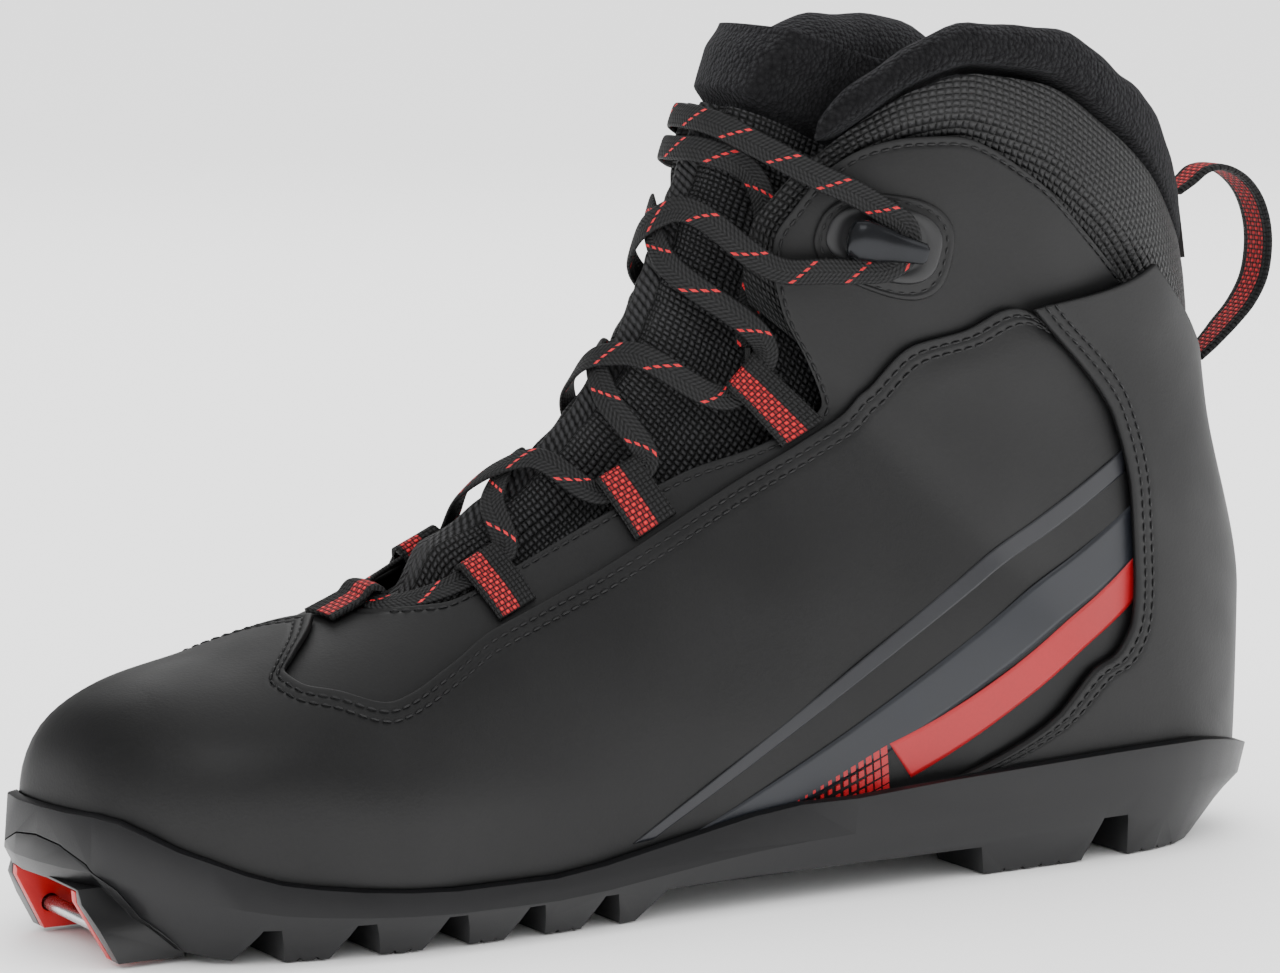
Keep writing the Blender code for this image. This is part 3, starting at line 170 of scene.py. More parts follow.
def coatedSynthetic(name, dark, mid, light, rough):
    # polyurethane-coated split leather: fine even grain, soft broad highlights, slight mottling
    mat, shader = newMaterial(name, rough, 0, {"Specular IOR Level": 0.4})
    mm = objectMm(mat)
    grain = addNode(mat, "ShaderNodeTexVoronoi", {"Scale": 1.9, "feature": "SMOOTH_F1"}, {"Vector": (mm, 0)})
    fine = addNode(mat, "ShaderNodeTexNoise", {"Scale": 1.1, "Detail": 5.0}, {"Vector": (mm, 0)})
    broad = addNode(mat, "ShaderNodeTexNoise", {"Scale": 0.035, "Detail": 3.0}, {"Vector": (mm, 0)})
    h = calc(mat, "ADD", calc(mat, "MULTIPLY", (grain, "Distance"), 0.6), (fine, 0))
    tone = calc(mat, "ADD", calc(mat, "MULTIPLY", (fine, 0), 0.35), calc(mat, "MULTIPLY", (broad, 0), 0.65))
    col = colorRamp(mat, tone, [(0.32, dark), (0.5, mid), (0.68, light)])
    rg = addNode(mat, "ShaderNodeMapRange", {"From Min": 0.3, "From Max": 0.7, "To Min": rough - 0.05,
                                            "To Max": rough + 0.08}, {"Value": (broad, 0)})
    mat.node_tree.links.new(rg.outputs[0], shader.inputs["Roughness"])
    return finishMaterial(mat, shader, col, h, 0.00006, 0.55)


def weave(mat, u, v, pu, pv):
    # plain weave: threads along u and v pass over each other in turn; returns relief 0 to 1 and the turn
    cu = calc(mat, "DIVIDE", u, pu)
    cv = calc(mat, "DIVIDE", v, pv)
    turn = calc(mat, "MODULO", calc(mat, "ADD", calc(mat, "ADD", calc(mat, "FLOOR", cu),
                                                     calc(mat, "FLOOR", cv)),
                                    1000.0), 2.0)
    hu = calc(mat, "ABSOLUTE", calc(mat, "SINE", calc(mat, "MULTIPLY", cu, pi)))
    hv = calc(mat, "ABSOLUTE", calc(mat, "SINE", calc(mat, "MULTIPLY", cv, pi)))
    both = calc(mat, "MULTIPLY", calc(mat, "POWER", hu, 0.6), calc(mat, "POWER", hv, 0.6))
    tilt = calc(mat, "MULTIPLY", calc(mat, "SUBTRACT", turn, 0.5), 0.45)
    side = calc(mat, "MULTIPLY", tilt, calc(mat, "SUBTRACT", hu, hv))
    return calc(mat, "ADD", both, side), turn


def ballisticMesh(name, dark, light, pitch):
    # coarse nylon weave with shiny filament bundles; the colour is painted light on the bundle crests and
    # near black in the gaps between them, as painted highlight and painted shade
    mat, shader = newMaterial(name, 0.55, 0, {"Specular IOR Level": 0.5})
    u, v = uvMm(mat)
    h, turn = weave(mat, u, v, pitch, pitch * 0.8)
    mm = objectMm(mat)
    fuzz = addNode(mat, "ShaderNodeTexNoise", {"Scale": 2.5, "Detail": 4.0}, {"Vector": (mm, 0)})
    tone = calc(mat, "ADD", calc(mat, "MULTIPLY", h, 0.75), calc(mat, "MULTIPLY", (fuzz, 0), 0.3))
    # painted highlight and painted shade: the colour follows the weave's relief, near black in the hollows
    # between threads and lightest on the crests
    col = colorRamp(mat, tone, [(0.3, "020203"), (0.62, dark), (1.0, light)])
    return finishMaterial(mat, shader, col, tone, 0.0007, 1.0)


def tongueWeave(name):
    # ribbed weave: a chevron down the middle fold, close vertical chains on the outer folds
    mat, shader = newMaterial(name, 0.6, 0, {"Specular IOR Level": 0.4})
    u, v = uvMm(mat)
    av = calc(mat, "ABSOLUTE", v)
    along = calc(mat, "ADD", u, calc(mat, "MULTIPLY", av, 0.7))
    rib = calc(mat, "ABSOLUTE", calc(mat, "SINE", calc(mat, "MULTIPLY", along, pi / 1.9)))
    yarn = calc(mat, "ABSOLUTE", calc(mat, "SINE", calc(mat, "MULTIPLY", v, pi / 1.3)))
    middle = calc(mat, "ADD", calc(mat, "MULTIPLY", rib, 0.7), calc(mat, "MULTIPLY", yarn, 0.35))
    chain, turn = weave(mat, u, v, 1.25, 1.5)
    isMid = calc(mat, "LESS_THAN", av, 4.2)
    diff = calc(mat, "SUBTRACT", middle, chain)
    h = calc(mat, "ADD", chain, calc(mat, "MULTIPLY", diff, isMid))
    mm = objectMm(mat)
    fuzz = addNode(mat, "ShaderNodeTexNoise", {"Scale": 2.2, "Detail": 4.0}, {"Vector": (mm, 0)})
    tone = calc(mat, "ADD", h, calc(mat, "MULTIPLY", (fuzz, 0), 0.25))
    # painted highlight and painted shade: the colour follows the rib relief, near black in the valleys and
    # lightest on the crests
    col = colorRamp(mat, tone, [(0.3, "030304"), (0.75, "0f0f10"), (1.0, "222224")])
    return finishMaterial(mat, shader, col, tone, 0.0006, 1.0)


def fleece(name, dark, light):
    # short brushed pile over a knit: tufts in close rows, no gloss, a faint halo at the edges
    mat, shader = newMaterial(name, 0.95, 0, {"Sheen Weight": 0.3, "Sheen Roughness": 0.5,
                                             "Sheen Tint": srgb("707074"), "Specular IOR Level": 0.12})
    mm = objectMm(mat)
    tuft = addNode(mat, "ShaderNodeTexVoronoi", {"Scale": 0.95, "Randomness": 0.8}, {"Vector": (mm, 0)})
    fine = addNode(mat, "ShaderNodeTexNoise", {"Scale": 1.6, "Detail": 6.0, "Roughness": 0.75},
                   {"Vector": (mm, 0)})
    lump = addNode(mat, "ShaderNodeTexNoise", {"Scale": 0.16, "Detail": 3.0}, {"Vector": (mm, 0)})
    loop = calc(mat, "SUBTRACT", 1.0, (tuft, "Distance"))
    tone = calc(mat, "ADD", calc(mat, "MULTIPLY", loop, 0.45), calc(mat, "MULTIPLY", (fine, 0), 0.35))
    tone = calc(mat, "ADD", tone, calc(mat, "MULTIPLY", (lump, 0), 0.3))
    # painted highlight and painted shade: the colour follows the pile's relief, lighter on the raised tufts
    # and lumps, darker between them
    col = colorRamp(mat, tone, [(0.4, dark), (0.75, light)])
    return finishMaterial(mat, shader, col, tone, 0.0016, 1.0)


def webbing(name, redFrom, redTo):
    # woven tape: raised red knots set like bricks within black, plain black selvedges
    mat, shader = newMaterial(name, 0.75, 0, {"Specular IOR Level": 0.3})
    u, v = uvMm(mat)
    h, turn = weave(mat, u, v, 1.1, 1.1)
    knot = calc(mat, "MULTIPLY", h, calc(mat, "ADD", 0.42, calc(mat, "MULTIPLY", turn, 0.58)))
    a = calc(mat, "GREATER_THAN", v, redFrom)
    inside = calc(mat, "MULTIPLY", a, calc(mat, "LESS_THAN", v, redTo))
    # the red knots set like bricks within black are the tape's own colour; their brightening toward each
    # knot's crest is painted highlight
    red = colorRamp(mat, knot, [(0.12, "080203"), (0.34, "6a0a10"), (0.75, "b3131c")])
    # painted highlight and painted shade: the black yarn is lighter on the thread crests and near black in
    # the hollows
    black = colorRamp(mat, h, [(0.1, "030303"), (0.9, "19191a")])
    mix = addNode(mat, "ShaderNodeMix", {"data_type": "RGBA"})
    links = mat.node_tree.links
    links.new(inside[0].outputs[0], mix.inputs["Factor"])
    links.new(black[0].outputs[0], mix.inputs[6])
    links.new(red[0].outputs[0], mix.inputs[7])
    return finishMaterial(mat, shader, (mix, 2), knot, 0.0005, 1.0)


def braid(name):
    # flat polyester braid: chevrons across the width, a slanting row of red flecks every 12 mm
    mat, shader = newMaterial(name, 0.7, 0, {"Specular IOR Level": 0.35})
    u, v = uvMm(mat)
    av = calc(mat, "ABSOLUTE", v)
    along = calc(mat, "SUBTRACT", u, calc(mat, "MULTIPLY", av, 0.8))
    rib = calc(mat, "ABSOLUTE", calc(mat, "SINE", calc(mat, "MULTIPLY", along, pi / 1.0)))
    yarn = calc(mat, "ABSOLUTE", calc(mat, "SINE", calc(mat, "MULTIPLY", v, pi / 0.95)))
    h = calc(mat, "ADD", calc(mat, "MULTIPLY", rib, 0.6), calc(mat, "MULTIPLY", yarn, 0.4))
    slant = calc(mat, "MODULO", calc(mat, "ADD", calc(mat, "ADD", u, calc(mat, "MULTIPLY", v, 1.15)),
                                     1200.0), 12.0)
    row = calc(mat, "LESS_THAN", slant, 0.85)
    dots = calc(mat, "ABSOLUTE", calc(mat, "SINE", calc(mat, "MULTIPLY", v, pi / 1.3)))
    speck = calc(mat, "GREATER_THAN", dots, 0.62)
    fleck = calc(mat, "MULTIPLY", row, speck)
    # painted highlight and painted shade: the black yarn is lighter on the chevron crests and near black in
    # the grooves; the red flecks are the lace's own colour
    black = colorRamp(mat, h, [(0.1, "020202"), (0.5, "0c0c0d"), (0.95, "1b1b1c")])
    mix = addNode(mat, "ShaderNodeMix", {"data_type": "RGBA", 7: srgb("b4141e")})
    links = mat.node_tree.links
    links.new(fleck[0].outputs[0], mix.inputs["Factor"])
    links.new(black[0].outputs[0], mix.inputs[6])
    return finishMaterial(mat, shader, (mix, 2), h, 0.0003, 0.9)


def grainy(name, dark, light, rough, scale, depth, metal=0.0, spec=0.5):
    # moulded rubber, plastic or metal with a faint surface texture
    mat, shader = newMaterial(name, rough, metal, {"Specular IOR Level": spec})
    mm = objectMm(mat)
    fine = addNode(mat, "ShaderNodeTexNoise", {"Scale": scale, "Detail": 5.0}, {"Vector": (mm, 0)})
    broad = addNode(mat, "ShaderNodeTexNoise", {"Scale": 0.05, "Detail": 2.0}, {"Vector": (mm, 0)})
    tone = calc(mat, "ADD", calc(mat, "MULTIPLY", (fine, 0), 0.5), calc(mat, "MULTIPLY", (broad, 0), 0.5))
    col = colorRamp(mat, tone, [(0.35, dark), (0.65, light)])
    rg = addNode(mat, "ShaderNodeMapRange", {"From Min": 0.35, "From Max": 0.65, "To Min": rough - 0.04,
                                            "To Max": rough + 0.06}, {"Value": tone})
    mat.node_tree.links.new(rg.outputs[0], shader.inputs["Roughness"])
    return finishMaterial(mat, shader, col, (fine, 0), depth, 0.6)


finish = {
    "overlay": coatedSynthetic("coated_overlay", "060607", "09090a", "0e0e0f", 0.5),
    "facing": coatedSynthetic("coated_facing", "060607", "0a0a0b", "0f0f10", 0.5),
    # ballistic nylon: 212123 is the painted highlight colour on the thread crests, over near black painted
    # shade in the gaps
    "mesh": ballisticMesh("ballistic_nylon", "070708", "212123", 1.7),
    "tongue": tongueWeave("ribbed_tongue_weave"),
    # collar fleece and brushed lining: the lighter colour is painted highlight on the raised pile, the darker
    # painted shade between tufts
    "fleece": fleece("collar_fleece", "050506", "161617"),
    "lining": fleece("brushed_lining", "08080a", "18181a"),
    "webbing": webbing("lace_loop_webbing", -4.6, 0.9),
    "pull": webbing("pull_loop_webbing", -2.9, 2.9),
    "lace": braid("flat_braid"),
    "thread": grainy("polyester_thread", "08080a", "161617", 0.55, 4.0, 0.00005),
    "rubber": grainy("moulded_rubber", "060608", "0b0b0e", 0.44, 3.0, 0.00003, 0, 0.4),
    "plate": grainy("moulded_nylon_plate", "060607", "0b0b0d", 0.34, 4.0, 0.00002),
    "redPlastic": grainy("red_moulded_plastic", "a80f13", "b81518", 0.35, 3.0, 0.00001),
    "steel": grainy("polished_steel", "b4b6b8", "d4d6d8", 0.24, 6.0, 0.00001, 1.0),
    "hook": grainy("satin_black_nickel", "1c1d1f", "2a2b2e", 0.22, 5.0, 0.00001, 0.7),
    "hookBase": grainy("satin_plastic_base", "101011", "18181a", 0.42, 4.0, 0.00002),
    "board": grainy("cellulose_board", "5c5240", "7a6f58", 0.9, 1.5, 0.0001),
    "footbed": grainy("textile_footbed", "18181a", "262628", 0.95, 2.0, 0.0002),
    "foam": grainy("open_cell_foam", "808080", "9a9a9a", 0.95, 2.0, 0.0003),
    "stiffener": grainy("stiffener_sheet", "6a665c", "7c776c", 0.8, 2.0, 0.0001),
    "aglet": grainy("clear_lace_tip", "0c0c0d", "161617", 0.25, 3.0, 0.00001),
    "greyFilm": grainy("slate_grey_film", "15161a", "191a1f", 0.38, 1.5, 0.00001),
    "blueFilm": grainy("blue_grey_film", "15171c", "191c23", 0.4, 1.5, 0.00001),
    "redFilm": grainy("red_film", "8c0c14", "980f19", 0.4, 1.5, 0.00001),
}
print("materials ready")

# the last: s | ridge x z | lower point x z | outer and inner half width | edge half widths | widest at |
# bulge
lastShape = np.array([
    (0.00, 5.5, 22.0, 5.5, 21.4, 0.0, 0.0, 0.0, 0.0, .66, 2.00),
    (0.05, 8.0, 40.0, 7.5, 20.5, 13.0, 13.0, 12.0, 12.0, .66, 2.10),
    (0.10, 13.5, 48.5, 13.0, 19.5, 22.5, 22.5, 21.0, 21.0, .66, 2.20),
    (0.16, 26.0, 54.5, 25.5, 17.0, 32.0, 33.0, 30.0, 31.0, .66, 2.30),
    (0.24, 47.0, 59.5, 48.0, 12.5, 38.5, 41.5, 36.5, 39.0, .68, 2.25),
    (0.33, 70.0, 67.0, 76.0, 9.8, 41.5, 46.0, 39.5, 43.5, .72, 2.10),
    (0.42, 92.0, 78.0, 106.0, 9.8, 40.5, 43.0, 38.5, 40.0, .74, 1.95),
    (0.50, 113.0, 91.5, 142.0, 11.5, 37.5, 37.0, 34.5, 33.0, .74, 1.85),
    (0.57, 127.5, 104.0, 180.0, 12.5, 35.5, 34.0, 31.0, 30.0, .72, 1.85),
    (0.63, 137.0, 115.5, 222.0, 13.0, 34.0, 33.5, 31.0, 30.5, .70, 1.90),
    (0.68, 142.5, 125.0, 262.0, 13.0, 33.0, 33.0, 28.0, 28.0, .68, 1.95),
    (0.73, 146.0, 133.0, 287.0, 12.5, 32.0, 32.0, 17.0, 17.0, .66, 2.00),
    (0.78, 149.0, 140.0, 298.0, 15.0, 32.5, 32.5, 0.0, 0.0, .60, 2.05),
    (0.84, 152.5, 149.0, 299.0, 52.0, 33.5, 33.5, 0.0, 0.0, .56, 2.10),
    (0.90, 157.0, 160.0, 288.5, 97.0, 35.0, 35.0, 0.0, 0.0, .54, 2.15),
    (0.96, 163.5, 175.0, 283.0, 135.0, 36.5, 36.5, 0.0, 0.0, .53, 2.20),
    (1.00, 171.0, 194.0, 275.0, 182.0, 37.5, 37.5, 0.0, 0.0, .53, 2.20)])
ridgeOut = np.array([(-1, -.6), (-1, .2), (-.75, .65), (-.35, .94), (-.27, .96), (-.38, .92),
                     (-.47, .88), (-.6, .8), (-.7, .71), (-.8, .6), (-.88, .48), (-.91, .42),
                     (-.93, .36), (-.93, .37), (-.93, .37), (-.93, .37), (-.93, .37)])
edgeOut = np.array([(-1, -.6), (-.9, -.8), (-.5, -.9), (-.1, -1), (0, -1), (0, -1), (0, -1), (0, -1),
                    (0, -1), (0, -1), (.1, -1), (.6, -.9), (1, -.5), (1, 0), (1, .1), (1, .1), (1, .1)])
widest = 0.62  # |t| at the widest point of a section


def smoothCurve(xs, ys):
    # monotone cubic through the points
    xs = np.asarray(xs, float)
    ys = np.asarray(ys, float)
    h = np.diff(xs)
    d = np.diff(ys) / h
    m = np.zeros(len(xs))
    m[0] = d[0]
    m[-1] = d[-1]
    for i in range(1, len(xs) - 1):
        if d[i - 1] * d[i] > 0:
            w1 = 2 * h[i] + h[i - 1]
            w2 = h[i] + 2 * h[i - 1]
            m[i] = (w1 + w2) / (w1 / d[i - 1] + w2 / d[i])

    def f(x):
        x = np.clip(np.asarray(x, float), xs[0], xs[-1])
        i = np.clip(np.searchsorted(xs, x) - 1, 0, len(xs) - 2)
        u = (x - xs[i]) / h[i]
        a = (1 + 2 * u) * (1 - u) ** 2
        b = u * (1 - u) ** 2
        c = u * u * (3 - 2 * u)
        e = u * u * (u - 1)
        return a * ys[i] + b * h[i] * m[i] + c * ys[i + 1] + e * h[i] * m[i + 1]
    return f


def lengthAlong(points):
    # running length along a line of points
    return np.r_[0, np.cumsum(np.linalg.norm(np.diff(points, axis=0), axis=1))]


def unit(v):
    return v / np.linalg.norm(v, axis=-1, keepdims=True)


def squared(c, power):
    # cosine or sine, flattened toward the sides of a box
    return np.sign(c) * np.abs(c) ** power


lastRow = [smoothCurve(lastShape[:, 0], lastShape[:, k]) for k in range(1, 11)]
outRow = [smoothCurve(lastShape[:, 0], ridgeOut[:, k]) for k in (0, 1)]
outRow += [smoothCurve(lastShape[:, 0], edgeOut[:, k]) for k in (0, 1)]


def ease(x, a, b):
    u = np.clip((np.asarray(x, float) - a) / (b - a), 0, 1)
    return u * u * (3 - 2 * u)


def onLast(s, t, off=0.0):
    # s runs from the toe to the collar, t from -1 at the outer edge over the ridge to 1; off is outward
    s, t, off = np.broadcast_arrays(np.asarray(s, float), np.asarray(t, float), np.asarray(off, float))
    fx, fz, bx, bz, wl, wm, bl, bm, pm, n1 = [f(s) for f in lastRow]
    ox, oz, ex, ez = [f(s) for f in outRow]
    tip = np.clip(s / 0.05, 0, 1)
    fx = fx + off * ox
    fz = fz + off * oz
    bx = bx + off * ex
    bz = bz + off * ez
    w = np.where(t < 0, wl, wm) + off * tip
    b = np.where(t < 0, bl, bm)
    b = b + 0.8 * off * tip * b / (np.where(t < 0, wl, wm) + .001)
    b = np.where(s >= 0.78, 0.0, b)
    a = np.abs(t)
    th = np.clip(a / widest, 0, 1) * pi / 2
    ph = np.clip((a - widest) / (1 - widest), 0, 1) * pi / 2
    up = a <= widest
    y = np.where(up, w * np.sin(th) ** (2 / n1), b + (w - b) * np.cos(ph))
    p = np.where(up, pm * (1 - np.clip(np.cos(th), 0, 1) ** (2 / n1)), pm + (1 - pm) * np.sin(ph))
    y = np.where((a > 0.9999) & (s >= 0.78), 0.0, y)
    y = np.sign(t) * y
    x = fx + (bx - fx) * p
    skew = 0.2 * np.clip(1 - x / 70.0, 0, 1) ** 2
    return np.stack([x - skew * y, y, fz + (bz - fz) * p], -1)


def outNormal(s, t):
    sc = np.clip(np.asarray(s, float), .01, .995)
    tc = np.clip(np.asarray(t, float), -.992, .992)
    return unit(np.cross(onLast(sc + .003, tc) - onLast(sc - .003, tc),
                         onLast(sc, tc + .006) - onLast(sc, tc - .006)))


sTable = np.linspace(0, 1, 1501)
rowTable = [f(sTable) for f in lastRow]


def halfWidth(x, z, side):
    # half width of the last at height z over x
    fx, fz, bx, bz, wl, wm, bl, bm, pm, n1 = rowTable
    cr = (bx - fx) * (z - fz) - (bz - fz) * (x - fx)
    p = ((bx - fx) * (x - fx) + (bz - fz) * (z - fz)) / ((bx - fx) ** 2 + (bz - fz) ** 2 + 1e-9)
    ok = np.nonzero((cr[:-1] * cr[1:] <= 0) & (p[:-1] >= -.05) & (p[:-1] <= 1.05) & (sTable[:-1] > .004))[0]
    if not len(ok):
        return 0.0
    i = ok[0]
    k = cr[i] / (cr[i] - cr[i + 1] + 1e-12)
    q = float(np.clip(p[i] + k * (p[i + 1] - p[i]), 0, 1))
    w = ((wl if side < 0 else wm)[i])
    b = ((bl if side < 0 else bm)[i])
    if q <= pm[i]:
        return float(w * (1 - (1 - q / pm[i]) ** n1[i]) ** (1 / n1[i]))
    u = (q - pm[i]) / (1 - pm[i])
    return float(b + (w - b) * (1 - u * u) ** 0.5)


def place(points):
    return np.asarray(points, float) * 0.001 + home


def addPiece(name, verts, faces, mat, uv=None, body="boot", replaces=(), slot=None, smooth=True):
    # millimetre points to a finished mesh object that rides on a body
    me = bpy.data.meshes.new(name)
    me.from_pydata([tuple(p) for p in place(verts)], [], [tuple(int(i) for i in f) for f in faces])
    me.validate()
    me.materials.append(mat)
    ob = bpy.data.objects.new(name, me)
    bpy.context.scene.collection.objects.link(ob)
    if uv is not None:
        layer = me.uv_layers.new(name="UVMap")
        index = np.empty(len(me.loops), int)
        me.loops.foreach_get("vertex_index", index)
        layer.data.foreach_set("uv", np.asarray(uv, float)[index].ravel())
    me.calc_loop_triangles()
    co = np.array([v.co for v in me.vertices])
    tri = np.array([t.vertices for t in me.loop_triangles])
    a, b, c = co[tri].transpose(1, 0, 2)
    if (a * np.cross(b, c)).sum() < 0:
        me.flip_normals()
    me.polygons.foreach_set("use_smooth", [smooth] * len(me.polygons))
    if body:
        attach(ob, body)
    if replaces:
        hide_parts(*replaces)
    return ob


def gridFaces(nu, nv, ring=False, start=0, flip=False):
    faces = []
    for i in range(nu if ring else nu - 1):
        for j in range(nv - 1):
            q = [start + (i % nu) * nv + j, start + ((i + 1) % nu) * nv + j,
                 start + ((i + 1) % nu) * nv + j + 1, start + (i % nu) * nv + j + 1]
            faces.append(tuple(reversed(q)) if flip else tuple(q))
    return faces


def addShell(name, outer, inner, mat, ring=False, uv=None, **more):
    # two grids joined along their free edges into one closed sheet
    nu, nv = outer.shape[:2]
    n = nu * nv
    faces = gridFaces(nu, nv, ring) + gridFaces(nu, nv, ring, n, True)
    for i in range(nu if ring else nu - 1):
        for j in (0, nv - 1):
            a, b = (i % nu) * nv + j, ((i + 1) % nu) * nv + j
            faces.append((a, b, b + n, a + n) if j else (a + n, b + n, b, a))
    if not ring:
        for j in range(nv - 1):
            faces.append((j, j + 1, j + 1 + n, j + n))
            a = (nu - 1) * nv + j
            faces.append((a + n, a + 1 + n, a + 1, a))
    verts = np.concatenate([outer.reshape(-1, 3), inner.reshape(-1, 3)])
    if uv is not None:
        uv = np.concatenate([uv.reshape(-1, 2), uv.reshape(-1, 2)])
    return addPiece(name, verts, faces, mat, uv, **more)


def addLoft(name, rings, mat, uv=None, **more):
    # closed rings of equal count, skinned and capped
    rings = np.asarray(rings, float)
    k, n = rings.shape[:2]
    faces = [(i * n + j, i * n + (j + 1) % n, (i + 1) * n + (j + 1) % n, (i + 1) * n + j)
             for i in range(k - 1) for j in range(n)]
    faces.append(tuple(range(n - 1, -1, -1)))
    faces.append(tuple((k - 1) * n + j for j in range(n)))
    return addPiece(name, rings.reshape(-1, 3), faces, mat, uv, **more)


def steps(length, count, near0=(), near1=()):
    # fractions 0 to 1 along each row of the given lengths: dense at millimetre distances from the ends
    length = np.asarray(length, float)[:, None]
    n0 = np.array(near0, float)[None, :]
    n1 = np.array(near1, float)[None, :]
    a = n0[:, -1:] if n0.size else np.zeros((1, 1))
    b = n1[:, -1:] if n1.size else np.zeros((1, 1))
    scale = np.minimum(1.0, length * .45 / np.maximum(np.maximum(a, b), 1e-6))
    lo = a * scale / length
    hi = 1 - b * scale / length
    mid = lo + (hi - lo) * np.linspace(0, 1, count + 1)[None, :]
    parts = []
    if n0.size:
        parts.append(n0[:, :-1] * scale / length)
    parts.append(mid)
    if n1.size:
        parts.append(1 - n1[:, -2::-1] * scale / length)
    return np.concatenate(parts, 1)


def between(rows, n, cuts, dense=0.0, along0=(), along1=(), near0=(), near1=()):
    # surface coordinates between control rows, with fine steps near chosen edges
    rows = [np.asarray(r, float) for r in rows]
    chord = 0
    for r in rows:
        q = onLast(r[:, 0], r[:, 1])
        chord = chord + np.r_[0, np.cumsum(np.linalg.norm(np.diff(q, axis=0), axis=1) + 1e-3)]
    chord = chord / len(rows)
    u = steps([chord[-1]], n, along0, along1)[0]
    u = (u - dense * np.sin(2 * pi * u) / (2 * pi)) * chord[-1]
    fine = [np.stack([smoothCurve(chord, r[:, k])(u) for k in (0, 1)], -1) for r in rows]
    out = []
    last = len(cuts) - 1
    for k, (a, b, c) in enumerate(zip(fine[:-1], fine[1:], cuts)):
        length = np.linalg.norm(onLast(a[:, 0], a[:, 1]) - onLast(b[:, 0], b[:, 1]), axis=1) + 1e-6
        f = steps(length, c, near0 if k == 0 else (), near1 if k == last else ())
        if k:
            f = f[:, 1:]
        out.append(a[:, None, :] + (b - a)[:, None, :] * f[..., None])
    return np.concatenate(out, 1)


def bothSides(st, join):
    other = st * np.array([1, -1])
    if join == "ring":
        return np.concatenate([st, other[-2:0:-1]])
    if join == "ridge":
        return np.concatenate([other[:0:-1], st])
    return np.concatenate([st, other[-2::-1]])


def gridUv(points):
    # millimetre UVs from distances along the middle row and column of a grid
    du = np.linalg.norm(np.diff(points, axis=0), axis=2).mean(1)
    dv = np.linalg.norm(np.diff(points, axis=1), axis=2)
    u = np.r_[0, np.cumsum(du)]
    v = np.concatenate([np.zeros((len(points), 1)), np.cumsum(dv, 1)], 1)
    v = v - v[:, -1:] / 2
    return np.stack([np.broadcast_to(u[:, None], v.shape), v], -1)


def rolledEdge(d, radius):
    k = np.clip(1 - d / radius, 0, 1)
    return -radius * (1 - np.sqrt(1 - k * k))


def groove(d, lines, depth=0.22, width=0.55):
    return sum(-depth * np.exp(-((d - k) / width) ** 2) for k in lines)


def edgeDistance(points, axis, end):
    # millimetres from each grid point to one border of its grid
    step = np.linalg.norm(np.diff(points, axis=axis), axis=2)
    zero = np.zeros_like(np.take(step, [0], axis))
    if end:
        d = np.flip(np.cumsum(np.flip(step, axis), axis), axis)
        return np.concatenate([d, zero], axis)
    return np.concatenate([zero, np.cumsum(step, axis)], axis)


def addPanel(name, st, off, thick, mat, ring=False, rolled=(), sewn=(), soft=0.0, **more):
    # rolled and sewn list (axis, end) borders; sewn adds its stitch distances
    flat = onLast(st[..., 0], st[..., 1])
    lift = np.zeros(st.shape[:2])
    for axis, end in rolled:
        lift = lift + rolledEdge(edgeDistance(flat, axis, end), 0.55)
    for axis, end, lines in sewn:
        lift = lift + groove(edgeDistance(flat, axis, end), lines)
    if soft:
        x, y, z = flat[..., 0], flat[..., 1], flat[..., 2]
        lift = lift + soft * (np.sin(x * .11 + z * .07) * np.sin(z * .13 - x * .05 + y * .06) - .6)
    outer = onLast(st[..., 0], st[..., 1], off + lift)
    inner = onLast(st[..., 0], st[..., 1], off - thick)
    return addShell(name, outer, inner, mat, ring, gridUv(flat), **more)


def stitchesAlong(name, st, off, mat, pitch=3.0, size=2.1, thick=0.42, **more):
    # a row of thread stitches along a line of surface coordinates
    pts = onLast(st[:, 0], st[:, 1], off)
    nor = outNormal(st[:, 0], st[:, 1])
    ch = lengthAlong(pts)
    count = int(ch[-1] / pitch)
    verts, faces = [], []
    for i in range(count):
        base = (i + .5) * ch[-1] / count
        rings = []
        for k, r in ((-.5, .35), (-.36, .85), (0, 1.0), (.36, .85), (.5, .35)):
            c = base + k * size
            p = np.array([np.interp(c, ch, pts[:, a]) for a in range(3)])
            n = np.array([np.interp(c, ch, nor[:, a]) for a in range(3)])
            q = np.array([np.interp(c + .2, ch, pts[:, a]) for a in range(3)])
            g = q - p
            if np.linalg.norm(g) < 1e-6:
                g = pts[-1] - pts[-2]
            g /= np.linalg.norm(g)
            n -= g * n.dot(g)
            n /= np.linalg.norm(n)
            b = np.cross(g, n)
            p = p + n * (.10 - .35 * (abs(k) * 2) ** 3)
            rings.append([p + (b * math.cos(w) * thick * .62 + n * math.sin(w) * thick * .5) * r
                          for w in np.arange(6) * pi / 3])
        s0 = len(verts)
        for ring in rings:
            verts += ring
        for a in range(4):
            for j in range(6):
                faces.append((s0 + a * 6 + j, s0 + a * 6 + (j + 1) % 6, s0 + (a + 1) * 6 + (j + 1) % 6,
                              s0 + (a + 1) * 6 + j))
        faces.append(tuple(s0 + j for j in range(5, -1, -1)))
        faces.append(tuple(s0 + 24 + j for j in range(6)))
    return addPiece(name, verts, faces, mat, **more)


def lineAt(st, axis, end, distance):
    # the surface coordinates at a distance from one border of a grid
    flat = onLast(st[..., 0], st[..., 1])
    d = edgeDistance(flat, axis, end)
    if axis == 0:
        d, st = d.T, st.transpose(1, 0, 2)
    out = []
    for row, coords in zip(d, st):
        order = np.argsort(row)
        out.append([np.interp(distance, row[order], coords[order, k]) for k in (0, 1)])
    return np.array(out)


